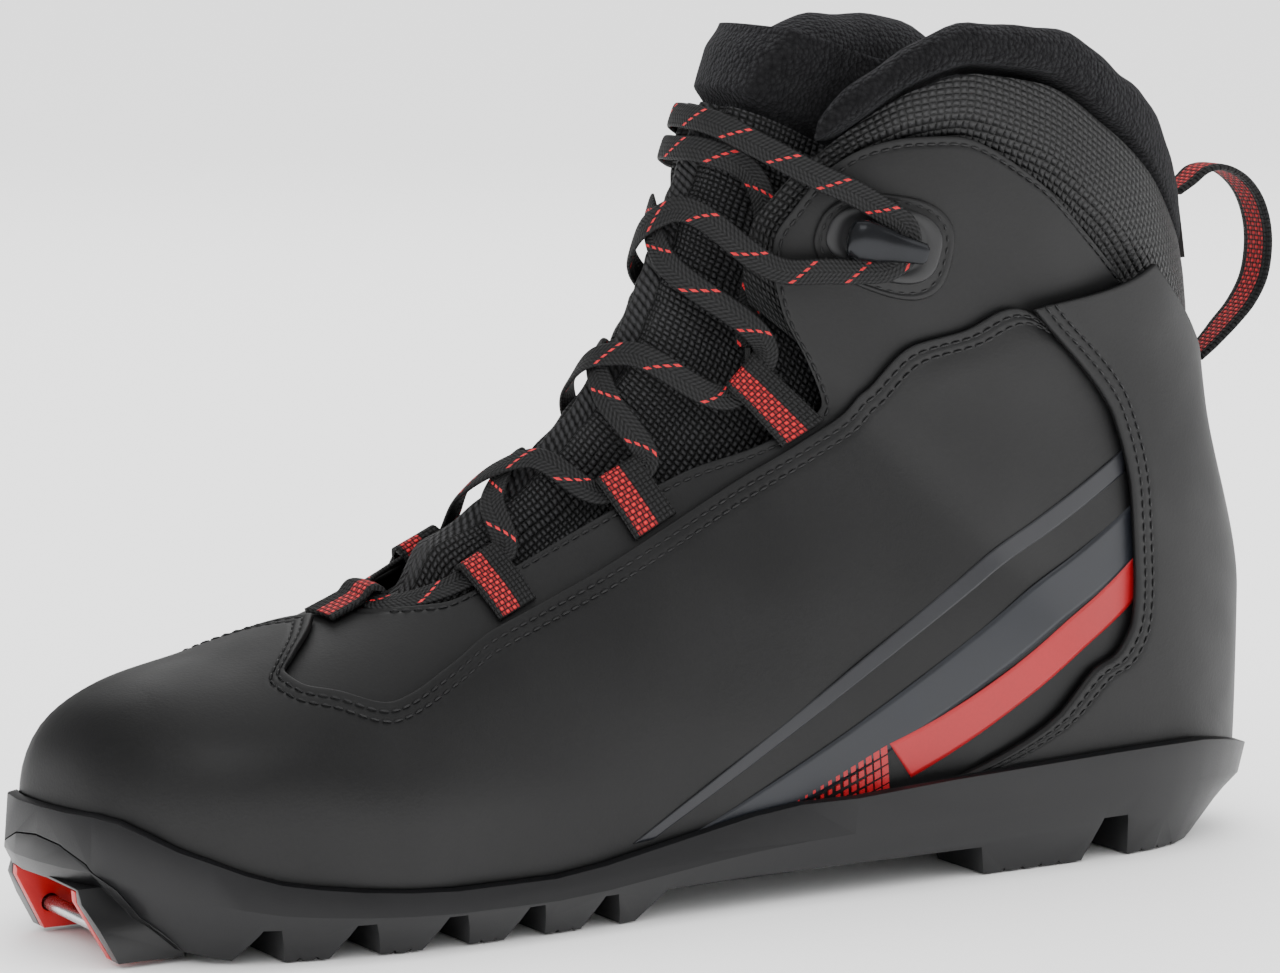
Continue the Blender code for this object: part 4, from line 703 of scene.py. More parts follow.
upper = {"panelThick": 1.3, "facingThick": 1.5, "facingOff": -2.15, "heelOff": 2.6, "stitchRows": (2.4, 4.7),
         "facingStitch": (2.0,), "pitch": 2.6}
edgeSteps = (0, .12, .32, .6, 1.0, 1.5, 2.0, 2.4, 2.8, 3.4, 4.0, 4.4, 4.7, 5.1, 5.7, 6.6)
roundSteps = (0, .12, .32, .6, 1.1)

quarterEdge = [(0, 0), (.006, -1), (.03, -1), (.08, -1), (.16, -1), (.24, -1), (.31, -1), (.36, -1),
               (.42, -1),
               (.50, -1), (.57, -1), (.62, -1), (.66, -1), (.69, -1), (.72, -1), (.745, -1), (.757, -1),
               (.768, -1), (.78, -1)]
quarterTop = [(.318, 0), (.300, -.06), (.275, -.125), (.257, -.18), (.262, -.235), (.285, -.285),
              (.325, -.352),
              (.378, -.325), (.425, -.30), (.52, -.31), (.60, -.32), (.68, -.34), (.763, -.37), (.83, -.43),
              (.865, -.51), (.893, -.60), (.885, -.72), (.87, -.85), (.855, -1)]
quarterLow = [(.16, 0), (.155, -.10), (.15, -.21), (.155, -.33), (.19, -.46), (.24, -.56), (.305, -.62),
              (.365, -.62), (.42, -.62), (.51, -.62), (.585, -.63), (.65, -.65), (.705, -.68), (.75, -.71),
              (.785, -.75), (.81, -.80), (.82, -.86), (.822, -.93), (.82, -1)]
quarterHalf = between([quarterEdge, quarterLow, quarterTop], 190, [16, 14], .3, near1=edgeSteps)
addPanel("vamp_and_quarters", bothSides(quarterHalf, "ring"), 0.0, upper["panelThick"], finish["overlay"],
         ring=True, rolled=((1, True),), sewn=((1, True, upper["stitchRows"]),), soft=.22,
         replaces=("quarter_overlay",), slot="coated_synthetic")
for k, d in enumerate(upper["stitchRows"]):
    for side in (1, -1):
        line = lineAt(quarterHalf, 1, True, d) * np.array([1, side])
        stitchesAlong("quarter_stitch_%d_%s" % (k, "outer" if side > 0 else "inner"), line, -.06,
                      finish["thread"], upper["pitch"])

heelFront = [(.583, -.836), (.633, -.765), (.72, -.66), (.81, -.688), (.865, -.675), (.893, -.60)]
heelMid = [(.66, -.86), (.70, -.81), (.77, -.78), (.84, -.76), (.90, -.75), (.943, -.755)]
heelBack = [(.745, -.875), (.77, -.885), (.80, -.90), (.85, -.88), (.895, -.865), (.925, -.85)]
heelSeam = [(.797, -1), (.80, -1), (.82, -1), (.85, -1), (.88, -1), (.905, -1)]
heelHalf = between([heelFront, heelMid, heelBack, heelSeam], 60, [12, 10, 12], 0, along1=roundSteps,
                   near0=edgeSteps).transpose(1, 0, 2)
addPanel("heel_cap", bothSides(heelHalf, "back"), upper["heelOff"], upper["panelThick"], finish["overlay"],
         rolled=((0, False), (0, True), (1, True)), sewn=((0, False, upper["stitchRows"]),
                                                          (0, True, upper["stitchRows"])),
         replaces=("heel_overlay",), slot="coated_synthetic")
for k, d in enumerate(upper["stitchRows"]):
    for side in (1, -1):
        line = lineAt(heelHalf, 0, False, d) * np.array([1, side])
        stitchesAlong("heel_stitch_%d_%s" % (k, "outer" if side > 0 else "inner"), line,
                      upper["heelOff"] - .06, finish["thread"], upper["pitch"])

facingIn = [(.345, 0), (.352, -.05), (.362, -.09), (.385, -.15), (.41, -.19), (.45, -.205), (.52, -.228),
            (.60, -.268), (.66, -.312), (.725, -.335), (.760, -.310), (.80, -.265), (.85, -.24), (.89, -.27),
            (.922, -.305), (.945, -.355), (.960, -.435), (.966, -.52), (.961, -.61), (.947, -.68),
            (.933, -.74)]
facingUnder = [(.285, 0), (.262, -.06), (.235, -.13), (.232, -.25), (.30, -.40), (.37, -.39), (.47, -.37),
               (.58, -.385), (.66, -.40), (.74, -.42), (.775, -.44), (.80, -.47), (.82, -.50), (.835, -.53),
               (.848, -.57), (.858, -.60), (.866, -.63), (.873, -.66), (.878, -.69), (.882, -.72),
               (.888, -.745)]
facingHalf = between([facingUnder, facingIn], 200, [14], near1=edgeSteps[:11], along1=roundSteps)
addPanel("eyelet_facing", bothSides(facingHalf, "ridge"), upper["facingOff"], upper["facingThick"],
         finish["facing"],
         rolled=((1, True),), sewn=((1, True, upper["facingStitch"]),), soft=.12,
         replaces=("facing",), slot="facing_synthetic")
for side in (1, -1):
    line = lineAt(facingHalf, 1, True, upper["facingStitch"][0])[14:] * np.array([1, side])
    stitchesAlong("facing_stitch_%s" % ("outer" if side > 0 else "inner"), line, upper["facingOff"] - .06,
                  finish["thread"], upper["pitch"])
print("overlays and stitching done")

# printed film on the quarters: pairs of edge curves, in side view millimetres
film = {
    "grey": {"top": [(123, 16.5), (156, 37), (184, 54), (207, 63.5), (230, 78), (252, 94.5)],
             "low": [(128, 17), (158, 34.5), (185, 50), (208, 60.5), (231, 73), (252, 89)], "rise": .10},
    "blue": {"top": [(133, 14), (160, 29.5), (186, 40.5), (209, 51.6), (230, 62.5), (258, 84)],
             "low": [(150, 14), (162, 21.0), (189, 31.6), (209, 39.6), (228, 48.6), (258, 70)], "rise": .10},
    "red": {"top": [(189, 31.8), (199, 35.6), (209, 40), (219, 44.2), (228, 49), (258, 70.4)],
            "low": [(195, 24.0), (205, 28), (213, 32), (226, 39), (241, 48), (258, 60)], "rise": .13}}


def onSide(x, z, side, off):
    # point on the quarter at (x, z), lifted off it
    def at(a, b):
        return np.array([a, side * halfWidth(a, b, side), b])
    p = at(x, z)
    n = np.cross(at(x + 1, z) - at(x - 1, z), at(x, z + 1) - at(x, z - 1))
    n /= np.linalg.norm(n)
    n *= np.sign(n[1]) * side
    return p + n * off


def addFilm(name, shape, mat, side, nu=90, nv=10):
    top, low = np.array(shape["top"], float), np.array(shape["low"], float)
    u = np.linspace(0, 1, nu)
    pt, pl = [np.stack([c[0, 0] + (c[-1, 0] - c[0, 0]) * u,
                        np.polyval(np.polyfit(c[:, 0], c[:, 1], 2), c[0, 0] + (c[-1, 0] - c[0, 0]) * u)], -1)
              for c in (top, low)]
    outer = np.zeros((nu, nv, 3))
    inner = np.zeros((nu, nv, 3))
    for i in range(nu):
        for j in range(nv):
            x, z = pl[i] + (pt[i] - pl[i]) * j / (nv - 1)
            z = max(z, 14.6)
            outer[i, j] = onSide(x, z, side, shape["rise"])
            inner[i, j] = onSide(x, z, side, -.25)
    return addShell(name, outer, inner, mat)


for side, tag in ((-1, "outer"), (1, "inner")):
    addFilm("grey_stripe_" + tag, film["grey"], finish["greyFilm"], side)
    addFilm("blue_stripe_" + tag, film["blue"], finish["blueFilm"], side)
    addFilm("red_stripe_" + tag, film["red"], finish["redFilm"], side)

squares = {"corner": (187.6, 30.6), "slope": 0.40, "pitch": 2.15, "columns": 12, "rows": 6, "largest": 1.75,
           "smallest": .5}


def addSquares(name, side):
    verts, faces = [], []
    a = math.atan(squares["slope"])
    ux, uz = math.cos(a), math.sin(a)
    for i in range(squares["columns"]):
        size = squares["largest"] + (squares["smallest"] - squares["largest"]) * i / (squares["columns"] - 1)
        for j in range(squares["rows"]):
            cx = squares["corner"][0] - ux * squares["pitch"] * i + uz * squares["pitch"] * j * .3
            cz = squares["corner"][1] - uz * squares["pitch"] * i - squares["pitch"] * j
            if cz < 17:
                continue
            n0 = len(verts)
            for off in (-.25, .12):
                for p, q in ((-.5, -.5), (.5, -.5), (.5, .5), (-.5, .5)):
                    verts.append(onSide(cx + size * (p * ux - q * uz * .3), cz + size * (p * uz + q), side,
                                        off))
            faces += [tuple(n0 + k for k in f) for f in ((3, 2, 1, 0), (4, 5, 6, 7), (0, 1, 5, 4),
                                                         (1, 2, 6, 5),
                                                         (2, 3, 7, 6), (3, 0, 4, 7))]
    return addPiece(name, verts, faces, finish["redFilm"], smooth=False)


addSquares("red_squares_outer", -1)
addSquares("red_squares_inner", 1)
print("printed film done")

meshLow = [(.775, -.335), (.805, -.315), (.85, -.295), (.88, -.315), (.905, -.35), (.925, -.40), (.938, -.46),
           (.944, -.53), (.938, -.60), (.925, -.665), (.908, -.73), (.89, -.83), (.868, -1)]
meshEdge = [(.775, -.290), (.805, -.262), (.85, -.24), (.89, -.275), (.922, -.31), (.945, -.36), (.960, -.44),
            (.966, -.52), (.961, -.61), (.947, -.68), (.935, -.74), (.920, -.84), (.895, -1)]
meshTop = [(.775, -.215), (.805, -.195), (.85, -.19), (.893, -.225), (.93, -.275), (.956, -.33), (.975, -.42),
           (.984, -.52), (.985, -.61), (.979, -.70), (.972, -.78), (.961, -.86), (.948, -1)]
meshHalf = between([meshLow, meshEdge, meshTop], 90, [3, 20])
bulge = ease(-meshHalf[..., 1], .31, .43)
rise = np.r_[np.zeros(3), smoothCurve([0, .2, .4, .6, .8, 1], [0, .3, .9, 1, 1, .92])(np.linspace(0, 1, 21))]
meshOff = -4.5 + bulge * rise[None, :] * 4.6
meshAll = np.concatenate([meshOff, meshOff[-2::-1]])
meshSt = bothSides(meshHalf, "back")
flat = onLast(meshSt[..., 0], meshSt[..., 1])
meshPiece = addShell("collar_mesh_panel", onLast(meshSt[..., 0], meshSt[..., 1], meshAll),
                     onLast(meshSt[..., 0], meshSt[..., 1], meshAll - 1.2), finish["mesh"], uv=gridUv(flat),
                     replaces=("collar_mesh",), slot="ballistic_mesh")

roll = {"path": [(.937, -.275), (.956, -.33), (.975, -.42), (.984, -.52), (.985, -.61), (.979, -.70),
                 (.972, -.78), (.961, -.86), (.948, -1)],
        "high": [5.0, 7.0, 8.5, 9.5, 10.5, 12.0, 12.5, 12.5, 12.5],
        "wide": [5.0, 9.0, 12, 12, 12, 11, 10, 9, 8.5]}
rollSection = [(0.0, .03), (.09, .28), (.08, .6), (-.06, .88), (-.3, 1.0), (-.6, .97), (-.86, .78),
               (-1.0, .45),
               (-1.0, .03)]


def addCollarRoll():
    ctl = np.array([(s + .004, t, h, w) for (s, t), h, w in zip(roll["path"], roll["high"], roll["wide"])])
    ch = lengthAlong(onLast(ctl[:, 0], ctl[:, 1]))
    half = np.stack([smoothCurve(ch, ctl[:, k])(np.linspace(0, ch[-1], 60)) for k in range(4)], -1)
    path = np.concatenate([half, half[-2::-1] * np.array([1, -1, 1, 1])])
    cen = onLast(path[:, 0], path[:, 1], -0.3)
    tan = unit(np.gradient(cen, axis=0))
    nor = outNormal(path[:, 0], path[:, 1])
    nor[59, 1] = 0.0
    up = np.cross(nor, tan)
    up *= np.sign(up[:, 2:3])
    for k in range(30):
        up[1:-1] = up[1:-1] * .5 + (up[:-2] + up[2:]) * .25
    up = unit(up)
    sec = np.array(rollSection)
    key = lengthAlong(sec)
    u = np.linspace(0, key[-1], 26)
    sec = np.stack([smoothCurve(key, sec[:, k])(u) for k in (0, 1)], -1)
    rings = []
    for i, (c, v, (s, t, h, w)) in enumerate(zip(cen, up, path)):
        puff = 1 + .035 * math.sin(i * .55) + .02 * math.sin(i * 1.3 + 1)
        near = min(i, len(path) - 1 - i) / 5
        blunt = 1 if near >= 1 else math.sqrt(max(1 - (1 - near) ** 2, .0)) * .85 + .15
        rings.append([onLast(s, t, a * w * blunt - .3) + v * (b * h * puff * blunt - 1.0) for a, b in sec])
    ob = addLoft("collar_fleece_roll", rings, finish["fleece"], replaces=("collar_roll",),
                 slot="collar_fleece")


addCollarRoll()

tongueHalf = smoothCurve([.345, .40, .45, .55, .65, .75, .85, .945, .99],
                         [.06, .15, .23, .29, .32, .33, .345, .37, .42])
shoulderS = [.345, .40, .44, .50, .56, .62, .68, .74, .80, .86, .90, .93, .965, .99]
upTo = smoothCurve(shoulderS, [.001, .02, .04, .06, .08, .09, .09, .07, .06, .06, .08, .12, .16, .20])
downBy = smoothCurve(shoulderS, [.03, .09, .12, .14, .165, .185, .18, .145, .13, .135, .16, .23, .29, .40])
tongueThick = 2.6


def tongueOff(s, t):
    a = np.abs(t)
    deep = -6.9 - 2.9 * ease(s, .50, .62) - 3.4 * ease(s, .90, .945)
    top = -6.3 + 5.9 * ease(s, .385, .43)
    k = np.clip((a - upTo(s)) / (downBy(s) - upTo(s)), 0, 1)
    return top + (np.minimum(deep, top - .3) - top) * (k * k * (3 - 2 * k))


def addTongue():
    ts, tf = np.meshgrid(np.linspace(.345, .945, 150), np.linspace(-1, 1, 91), indexing="ij")
    tt = np.sign(tf) * np.abs(tf) ** .9 * tongueHalf(ts)
    off = tongueOff(ts, tt)
    flat = onLast(ts, tt, off)
    mid = ease(ts, .42, .47)
    # three lengthwise folds of the padding, and soft cross creases where it bends
    fold = 1.1 * np.cos(tt / .10 * 2 * pi) * np.exp(-(tt / .19) ** 2)
    off = off + mid * (fold - .85) + .22 * mid * np.sin(ts * 150 + tt * 20)
    outer = onLast(ts, tt, np.minimum(off, tongueOff(ts, tt) + .35))
    inner = onLast(ts, tt, tongueOff(ts, tt) - tongueThick)
    ob = addShell("tongue_body", outer, inner, finish["tongue"], uv=gridUv(flat), replaces=("tongue",),
                  slot="tongue_weave")
    rows = np.r_[np.linspace(.385, .945, 90), np.linspace(.948, .988, 24)]
    ts, tf = np.meshgrid(rows, np.linspace(-1, 1, 61), indexing="ij")
    tt = np.sign(tf) * np.abs(tf) ** .9 * tongueHalf(ts)
    bed = tongueOff(ts, np.abs(tt) + .022 + .022 * ease(ts, .86, .92))
    outK = -tongueThick - 1.1 + (tongueThick + .9) * ease(ts, .947, .958) - 1.6 * ease(ts, .976, .988)
    inK = -tongueThick - 3.5 + 1.8 * ease(ts, .976, .988)
    ob = addShell("tongue_fleece_top", onLast(ts, tt, bed + outK), onLast(ts, tt, bed + inK),
                  finish["fleece"],
                  replaces=("tongue_lining",), slot="collar_fleece")


addTongue()
liningEdge = [(0, 0), (.006, -1), (.03, -1), (.07, -1), (.12, -1), (.17, -1), (.22, -1), (.27, -1), (.32, -1),
              (.37, -1), (.42, -1), (.48, -1), (.53, -1), (.58, -1), (.62, -1), (.66, -1), (.69, -1),
              (.72, -1), (.745, -1), (.765, -1), (.78, -1)]
liningTop = [(.30, 0), (.30, -.08), (.31, -.14), (.33, -.19), (.36, -.225), (.40, -.26), (.44, -.28),
             (.49, -.30), (.54, -.325), (.60, -.345), (.66, -.37), (.74, -.395), (.80, -.41), (.85, -.42),
             (.90, -.41), (.935, -.42), (.955, -.50), (.958, -.62), (.950, -.75), (.938, -.88), (.930, -1)]
liningSt = bothSides(between([liningEdge, liningTop], 70, [24], .5), "ring")
liningOff = -4.7 - 2.8 * ease(liningSt[..., 0], .80, .88)
addShell("foot_lining", onLast(liningSt[..., 0], liningSt[..., 1], liningOff),
         onLast(liningSt[..., 0], liningSt[..., 1], liningOff - 1.5), finish["lining"], ring=True,
         replaces=("lining",), slot="lining_textile")
print("collar, tongue and lining done")

# lace loops of folded webbing
loops = {"corners": [[(.425, -.13), (.458, -.14), (.460, -.289), (.430, -.290)],
                     [(.545, -.18), (.583, -.20), (.578, -.308), (.542, -.304)],
                     [(.677, -.235), (.726, -.243), (.716, -.345), (.668, -.331)]],
         "throat": [(.376, -.052), (.376, .052), (.323, .053), (.323, -.053)], "wide": 12.0}


def addLoop(name, corners, mat, node):
    a, b, c, d = [np.array(k, float) for k in corners]
    pa, pb, pc, pd = [onLast(k[0], k[1]) for k in (a, b, c, d)]
    length = float(np.linalg.norm((pa + pb) / 2 - (pc + pd) / 2))
    outer = [(length, -.45), (length * .72, -.35), (6.0, -.35), (4.6, .3), (3.0, .75), (1.4, .3), (.4, -.9),
             (0, -2.5), (.4, -4.1), (1.4, -5.3), (3.0, -5.75), (4.6, -5.4), (6.0, -5.2), (9.0, -5.2)]
    inner = [(9.0, -4.1), (6.0, -4.1), (4.7, -4.4), (3.0, -4.65), (1.7, -4.0), (1.15, -2.5), (1.7, -1.0),
             (3.0, -.35), (4.7, -.75), (6.0, -1.45), (length * .72, -1.45), (length, -1.45)]
    prof = []
    for part in (outer, inner):
        part = np.array(part, float)
        key = lengthAlong(part)
        u = np.linspace(0, key[-1], 44)
        prof.append(np.stack([smoothCurve(key, part[:, k])(u) for k in (0, 1)], -1))
    along = lengthAlong(prof[0])
    along2 = np.interp(np.linspace(1, 0, 44), np.linspace(0, 1, 44), along)
    prof = np.concatenate(prof)
    uAlong = np.r_[along, along2]
    rings, uv = [], []
    ks = np.array([0, .012, .04, .1, .2, .3, .4, .5, .6, .7, .8, .9, .96, .988, 1])
    for k in ks:
        tip = a + (b - a) * k
        end = d + (c - d) * k
        st = tip + (end - tip) * (prof[:, :1] / length)
        rings.append(onLast(st[:, 0], st[:, 1], prof[:, 1] + rolledEdge(min(k, 1 - k) * 12, .3) * .5))
        uv.append(np.stack([uAlong, np.full(len(prof), (k - .5) * loops["wide"])], -1))
    return addLoft(name, rings, mat, np.array(uv).reshape(-1, 2), replaces=(node,), slot="loop_webbing")


for i, corners in enumerate(loops["corners"]):
    addLoop("webbing_loop_outer_%d" % (i + 1), corners, finish["webbing"], "lace_loop_lateral_%d" % (i + 1))
    addLoop("webbing_loop_inner_%d" % (i + 1), [(s, -t) for s, t in corners], finish["webbing"],
            "lace_loop_medial_%d" % (i + 1))
addLoop("webbing_loop_throat", loops["throat"], finish["webbing"], "throat_loop")

hookAt = (.8895, .405)
hookFrames = {}
for side in (-1, 1):
    n = outNormal(hookAt[0], side * hookAt[1])
    ax = np.array([1.0, 0, -.2])
    ax = ax - n * ax.dot(n)
    ax /= np.linalg.norm(ax)
    az = np.cross(ax, n) * (1 if side > 0 else -1)
    az *= np.sign(az[2])
    hookFrames[side] = (onLast(hookAt[0], side * hookAt[1]), ax, az, n)


def atHook(side, x, y, z):
    c, ax, az, n = hookFrames[side]
    return c + ax * x + az * y + n * z


def hookOval(side, a, b, count):
    # surface coordinates of an oval round the hook, a by b in half sizes
    s0, t0 = hookAt[0], side * hookAt[1]
    ds = (onLast(s0 + .002, t0) - onLast(s0 - .002, t0)) / .004
    dt = (onLast(s0, t0 + .004) - onLast(s0, t0 - .004)) / .008
    inv = np.linalg.pinv(np.stack([ds, dt], 1))
    c, ex, ez, nrm = hookFrames[side]
    ey = np.cross(nrm, ex)
    w = 2 * pi * np.arange(count) / count
    out = ex * (squared(np.cos(w), .8) * a)[:, None] + ey * (squared(np.sin(w), .8) * b)[:, None]
    return np.array([s0, t0]) + out @ inv.T


def addDisc(name, side, a, b, profile, mat, node, slot):
    # oval plate bent to the boot; profile lists (share of the radius, offset) from rim below to centre above
    rings = []
    for r, off in profile:
        st = hookOval(side, a * r, b * r, 72)
        rings.append(onLast(st[:, 0], st[:, 1], off))
    return addLoft(name, rings, mat, replaces=(node,), slot=slot)


for side, tag, word in ((-1, "lateral", "outer"), (1, "medial", "inner")):
    f = upper["facingOff"]
    low, high = f + .5, f + 1.2
    addDisc("hook_patch_%s_skin" % word, side, 16.0, 11.0,
            [(.2, low), (.6, low), (1.0, low), (1.0, high - .35), (.985, high - .1), (.95, high), (.93, high),
             (.905, high - .2), (.88, high - .2), (.85, high), (.6, high), (.2, high)], finish["facing"],
            "hook_patch_" + tag, "facing_synthetic")
    low, high = f + 1.5, f + 2.7
    addDisc("hook_base_%s_plate" % word, side, 13.0, 8.0,
            [(.2, low), (.7, low), (1.0, low), (1.0, high - .4), (.98, high - .12), (.94, high), (.80, high),
             (.75, high - .25), (.70, high - .35), (.45, high - .35), (.2, high - .35)], finish["hookBase"],
            "hook_base_" + tag, "hook_base_plastic")
    oval = hookOval(side, 14.4, 9.7, 72)
    stitchesAlong("hook_stitch_" + word, np.r_[oval, oval[:1]], f + 1.0, finish["thread"], 2.6, 1.8)


def refined(node, name, mat, bevel, segments=3, limit=32, merge=.00002, body="boot"):
    # a welded copy of a solid with its edges eased
    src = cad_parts[node]
    me = src.data.copy()
    bm = bmesh.new()
    bm.from_mesh(me)
    bmesh.ops.remove_doubles(bm, verts=bm.verts, dist=merge)
    bmesh.ops.dissolve_limit(bm, angle_limit=math.radians(2), verts=bm.verts, edges=bm.edges)
    bm.to_mesh(me)
    bm.free()
    me.materials.clear()
    me.materials.append(mat)
    ob = bpy.data.objects.new(name, me)
    bpy.context.scene.collection.objects.link(ob)
    mod = ob.modifiers.new("eased", "BEVEL")
    mod.width = bevel
    mod.segments = segments
    mod.limit_method = "ANGLE"
    mod.angle_limit = math.radians(limit)
    mod.use_clamp_overlap = True
    bpy.ops.object.select_all(action="DESELECT")
    ob.select_set(True)
    bpy.context.view_layer.objects.active = ob
    bpy.ops.object.modifier_apply(modifier="eased")
    bpy.ops.object.shade_smooth_by_angle(angle=math.radians(limit))
    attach(ob, body)
    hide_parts(node)
    return ob


for tag, word in (("lateral", "outer"), ("medial", "inner")):
    refined("hook_" + tag, "lace_hook_" + word, finish["hook"], .0007, 4, 50)
refined("outsole", "rubber_sole", finish["rubber"], .0005, 3, 30)
refined("toe_plate", "nose_plate", finish["plate"], .0005, 3, 30)
refined("toe_insert", "red_recess_insert", finish["redPlastic"], .0004, 3, 30)
refined("toe_bar", "steel_toe_bar", finish["steel"], .0004, 3, 40)
refined("footbed", "foot_bed", finish["footbed"], .0012, 3, 40, body="bed")
print("hooks, loops and sole done")

# the lace: stations along its route, as in the solid model
lace = {"under": 1.0, "over": 2.7, "wide": 5.6, "thick": 1.2, "tip": 12.0, "solid": 2.4}


def station(s, t, off):
    return onLast(s, t, off), outNormal(s, t)


def eye(i, side, k):
    a, b, c, d = [np.array(q, float) for q in loops["corners"][i]]
    pa, pb, pc, pd = [onLast(q[0], q[1]) for q in (a, b, c, d)]
    length = np.linalg.norm((pa + pb) / 2 - (pc + pd) / 2)
    tip = a + (b - a) * k
    end = d + (c - d) * k
    st = tip + (end - tip) * 3.35 / length
    t = side * abs(st[1])
    return (onLast(st[0], t, -.4) + onLast(st[0], t, -4.6)) / 2, outNormal(st[0], t)


def through(i, side):
    return [eye(i, side, k) for k in (.04, .5, .96)]


def overRidge(s, side, lift, climb=.021):
    t = float(upTo(s))
    drop = (lift - lace["under"]) * .3
    return [station(s - climb, side * t, lift - drop), station(s, 0, lift),
            station(s + climb, -side * t, lift - drop)]


def halfLace(side):
    k = -side
    over, under = lace["over"], lace["under"]
    one, two, three = (over, under, over) if side > 0 else (under, over, under)
    p = [station(.3635, side * .03, -2.5), station(.3645, side * .068, -2.6),
         station(.385, side * .118, -2.9)]
    p += through(0, side)
    p += overRidge(.499, side, one)
    p += through(1, k)
    p += overRidge(.623, k, two)
    p += through(2, side)
    p += overRidge(.800, side, three, .03)
    n = hookFrames[k][3]
    p += [(atHook(k, *q), n) for q in ((-19, -10.5, 1.2), (-12, -8.6, 2.7), (-4, -6.8, 3.0), (2.2, -4.6, 3.0),
                                       (5.0, 0, 3.0), (3.0, 4.6, 3.0), (-3, 7.0, 3.0), (-10, 9.3, 2.6),
                                       (-17, 10.6, 1.4))]
    if side < 0:
        tail = ((.903, k * .17, 1.0), (.900, k * .07, 2.0), (.899, 0, 2.1), (.902, side * .075, 1.7),
                (.903, side * .13, -1.6), (.899, side * .157, -5.2), (.888, side * .18, -7.4),
                (.87, side * .20, -7.6))
    else:
        tail = ((.920, k * .20, 1.6), (.928, k * .09, 2.1), (.930, 0, 2.1), (.931, side * .09, 1.9),
                (.930, side * .165, -1.2), (.926, side * .197, -5.0), (.913, side * .208, -7.5),
                (.89, side * .21, -7.7))
    p += [station(*q) for q in tail]
    p += [station(s, side * t, -7.6) for s, t in ((.85, .205), (.80, .205), (.75, .21), (.71, .23),
                                                  (.67, .245))]
    return p


def alongCurve(pts, ch, u):
    tang = np.gradient(pts, ch, axis=0)
    i = np.clip(np.searchsorted(ch, u) - 1, 0, len(ch) - 2)
    h = (ch[i + 1] - ch[i])[:, None]
    w = (u - ch[i])[:, None] / h
    return ((1 + 2 * w) * (1 - w) ** 2 * pts[i] + w * (1 - w) ** 2 * h * tang[i]
            + w * w * (3 - 2 * w) * pts[i + 1] + w * w * (w - 1) * h * tang[i + 1])


def flatBand(pts, nor, wide, thick, count=16):
    # rings of a soft-edged flat section that lies along nor
    tan = unit(np.gradient(pts, axis=0))
    nor = unit(nor - tan * (nor * tan).sum(1, keepdims=True))
    side = np.cross(tan, nor)
    w = 2 * pi * np.arange(count) / count
    cx = squared(np.cos(w), .55)
    cy = squared(np.sin(w), .8)
    rings = pts[:, None, :] + side[:, None, :] * (cx * wide / 2)[None, :, None] \
        + nor[:, None, :] * (cy * thick / 2)[None, :, None]
    return rings, cx * wide / 2


def addLace():
    far, near = halfLace(1), halfLace(-1)
    both = far[::-1] + near
    pts = np.array([p for p, n in both])
    nor = np.array([n for p, n in both])
    ch = lengthAlong(pts)
    tip = lace["tip"]
    u = np.linspace(tip + .3, ch[-1] - tip - .3, 900)
    line = alongCurve(pts, ch, u)
    n = np.stack([np.interp(u, ch, nor[:, k]) for k in range(3)], -1)
    for k in range(12):
        n[1:-1] = n[1:-1] * .5 + (n[:-2] + n[2:]) * .25
    rings, across = flatBand(line, n, lace["wide"], lace["thick"])
    uv = np.stack([np.broadcast_to(u[:, None], rings.shape[:2]),
                   np.broadcast_to(across[None, :], rings.shape[:2])], -1)
    band = addLoft("flat_lace", rings, finish["lace"], uv.reshape(-1, 2), replaces=("lace",),
                   slot="braided_lace")
    for name in ("lace_tip_lateral", "lace_tip_medial"):
        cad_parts[name].data.materials.clear()
        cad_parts[name].data.materials.append(finish["aglet"])


addLace()

# heel pull loop and its two sewn ends
pull = {"arc": [(293.6, 107.6), (296.6, 110.4), (301.6, 115.0), (306.4, 119.8), (309.8, 125.5),
                (311.0, 131.5),
                (310.4, 139.0), (307.4, 145.6), (302.8, 149.8), (297.6, 151.6), (293.6, 151.0),
                (289.9, 148.4), (286.6, 146.2)],
        "share": [.55, .8, .97, 1, 1, 1, 1, 1, 1, 1, .95, .85, .7], "wide": 10.5, "thick": 1.6}


def addPullLoop():
    arc = np.array([(x, 0, z) for x, z in pull["arc"]], float)
    ch = lengthAlong(arc)
    u = np.linspace(0, ch[-1], 110)
    line = alongCurve(arc, ch, u)
    tan = unit(np.gradient(line, axis=0))
    nor = np.stack([tan[:, 2], 0 * u, -tan[:, 0]], -1)
    share = np.interp(u, ch, pull["share"])
    rings, uv = [], []
    w = 2 * pi * np.arange(18) / 18
    cx = squared(np.cos(w), .4)
    cy = squared(np.sin(w), .8)
    for p, n, k, a in zip(line, nor, share, u):
        rings.append([p + np.array([0, x * pull["wide"] / 2 * k, 0]) + n * y * pull["thick"] / 2
                      for x, y in zip(cx, cy)])
        uv += [(a, x * pull["wide"] / 2) for x in cx]
    ob = addLoft("heel_pull_loop", rings, finish["pull"], uv, body=None, replaces=("pull_loop",),
                 slot="loop_webbing")
    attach(ob, "pull")


addPullLoop()
print("lace and pull loop done")

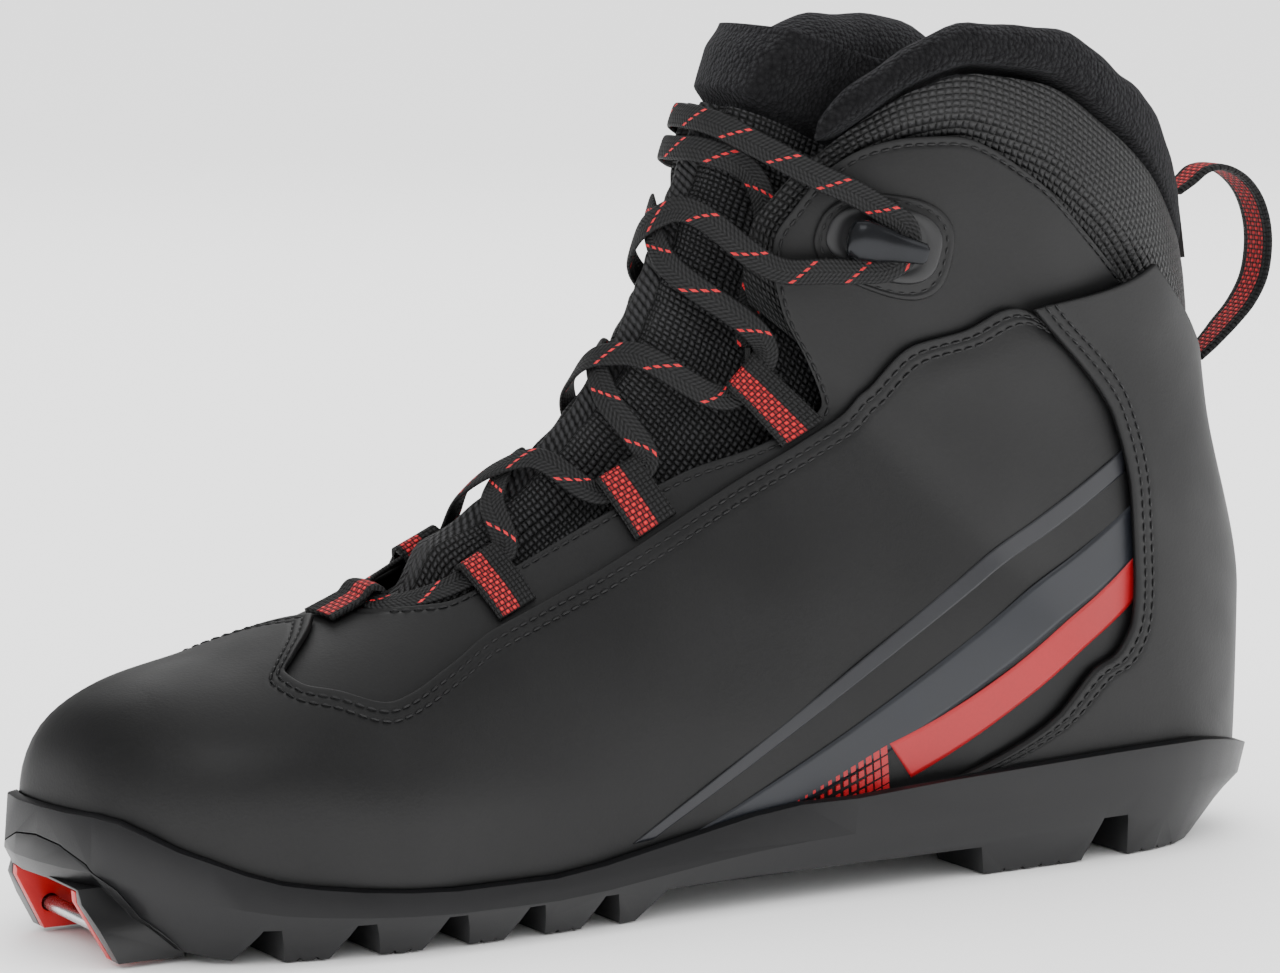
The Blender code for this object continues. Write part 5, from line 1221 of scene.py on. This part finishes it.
plain = {"collar_foam": "foam", "toe_puff": "stiffener", "heel_counter": "stiffener", "shank": "plate",
         "lasting_board": "board", "hook_rivet_lateral": "steel", "hook_rivet_medial": "steel",
         "pull_root_lower": "pull", "pull_root_upper": "pull", "lace_tip_lateral": "aglet",
         "lace_tip_medial": "aglet"}
for node, kind in plain.items():
    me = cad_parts[node].data
    me.materials.clear()
    me.materials.append(finish[kind])


def makeStudio():
    floorMat, shader = newMaterial("pale_floor", 0.7)
    shader.inputs["Base Color"].default_value = srgb("f4f4f4")
    bpy.ops.object.select_all(action="DESELECT")
    bpy.ops.mesh.primitive_plane_add(size=12, location=(0, 0, -0.0004))
    floor = bpy.context.object
    floor.name = "floor"
    floor.data.materials.append(floorMat)
    floor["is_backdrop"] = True
    world = bpy.data.worlds.new("studio")
    bpy.context.scene.world = world
    world.use_nodes = True
    back = world.node_tree.nodes["Background"]
    back.inputs["Color"].default_value = (1, 1, 1, 1)
    tree = world.node_tree
    path = tree.nodes.new("ShaderNodeLightPath")  # a bright room, with dark flags where the gloss looks
    dim = tree.nodes.new("ShaderNodeMath")
    dim.operation = "MULTIPLY_ADD"
    dim.inputs[1].default_value = -2.15
    dim.inputs[2].default_value = 2.5
    tree.links.new(path.outputs["Is Glossy Ray"], dim.inputs[0])
    tree.links.new(dim.outputs[0], back.inputs["Strength"])
    lamps = {"key": ((-.8, -1.3, 1.6), 1.3, 13), "fill": ((1.4, -1.2, .9), 1.2, 7),
             "top": ((.1, .2, 1.9), 1.4, 6), "rim": ((.7, 1.3, 1.2), 1.2, 8)}
    for name, (where, size, power) in lamps.items():
        data = bpy.data.lights.new(name, "AREA")
        data.size = size
        data.energy = power
        lamp = bpy.data.objects.new(name, data)
        bpy.context.scene.collection.objects.link(lamp)
        lamp.location = where
        lamp.rotation_euler = (Vector(where) - Vector((0, 0, .08))).to_track_quat("Z", "Y").to_euler()


makeStudio()
low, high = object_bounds()
({"cad": [list(map(float, c)) for c in cadBox],
           "visual": [list(map(float, low)), list(map(float, high))]})
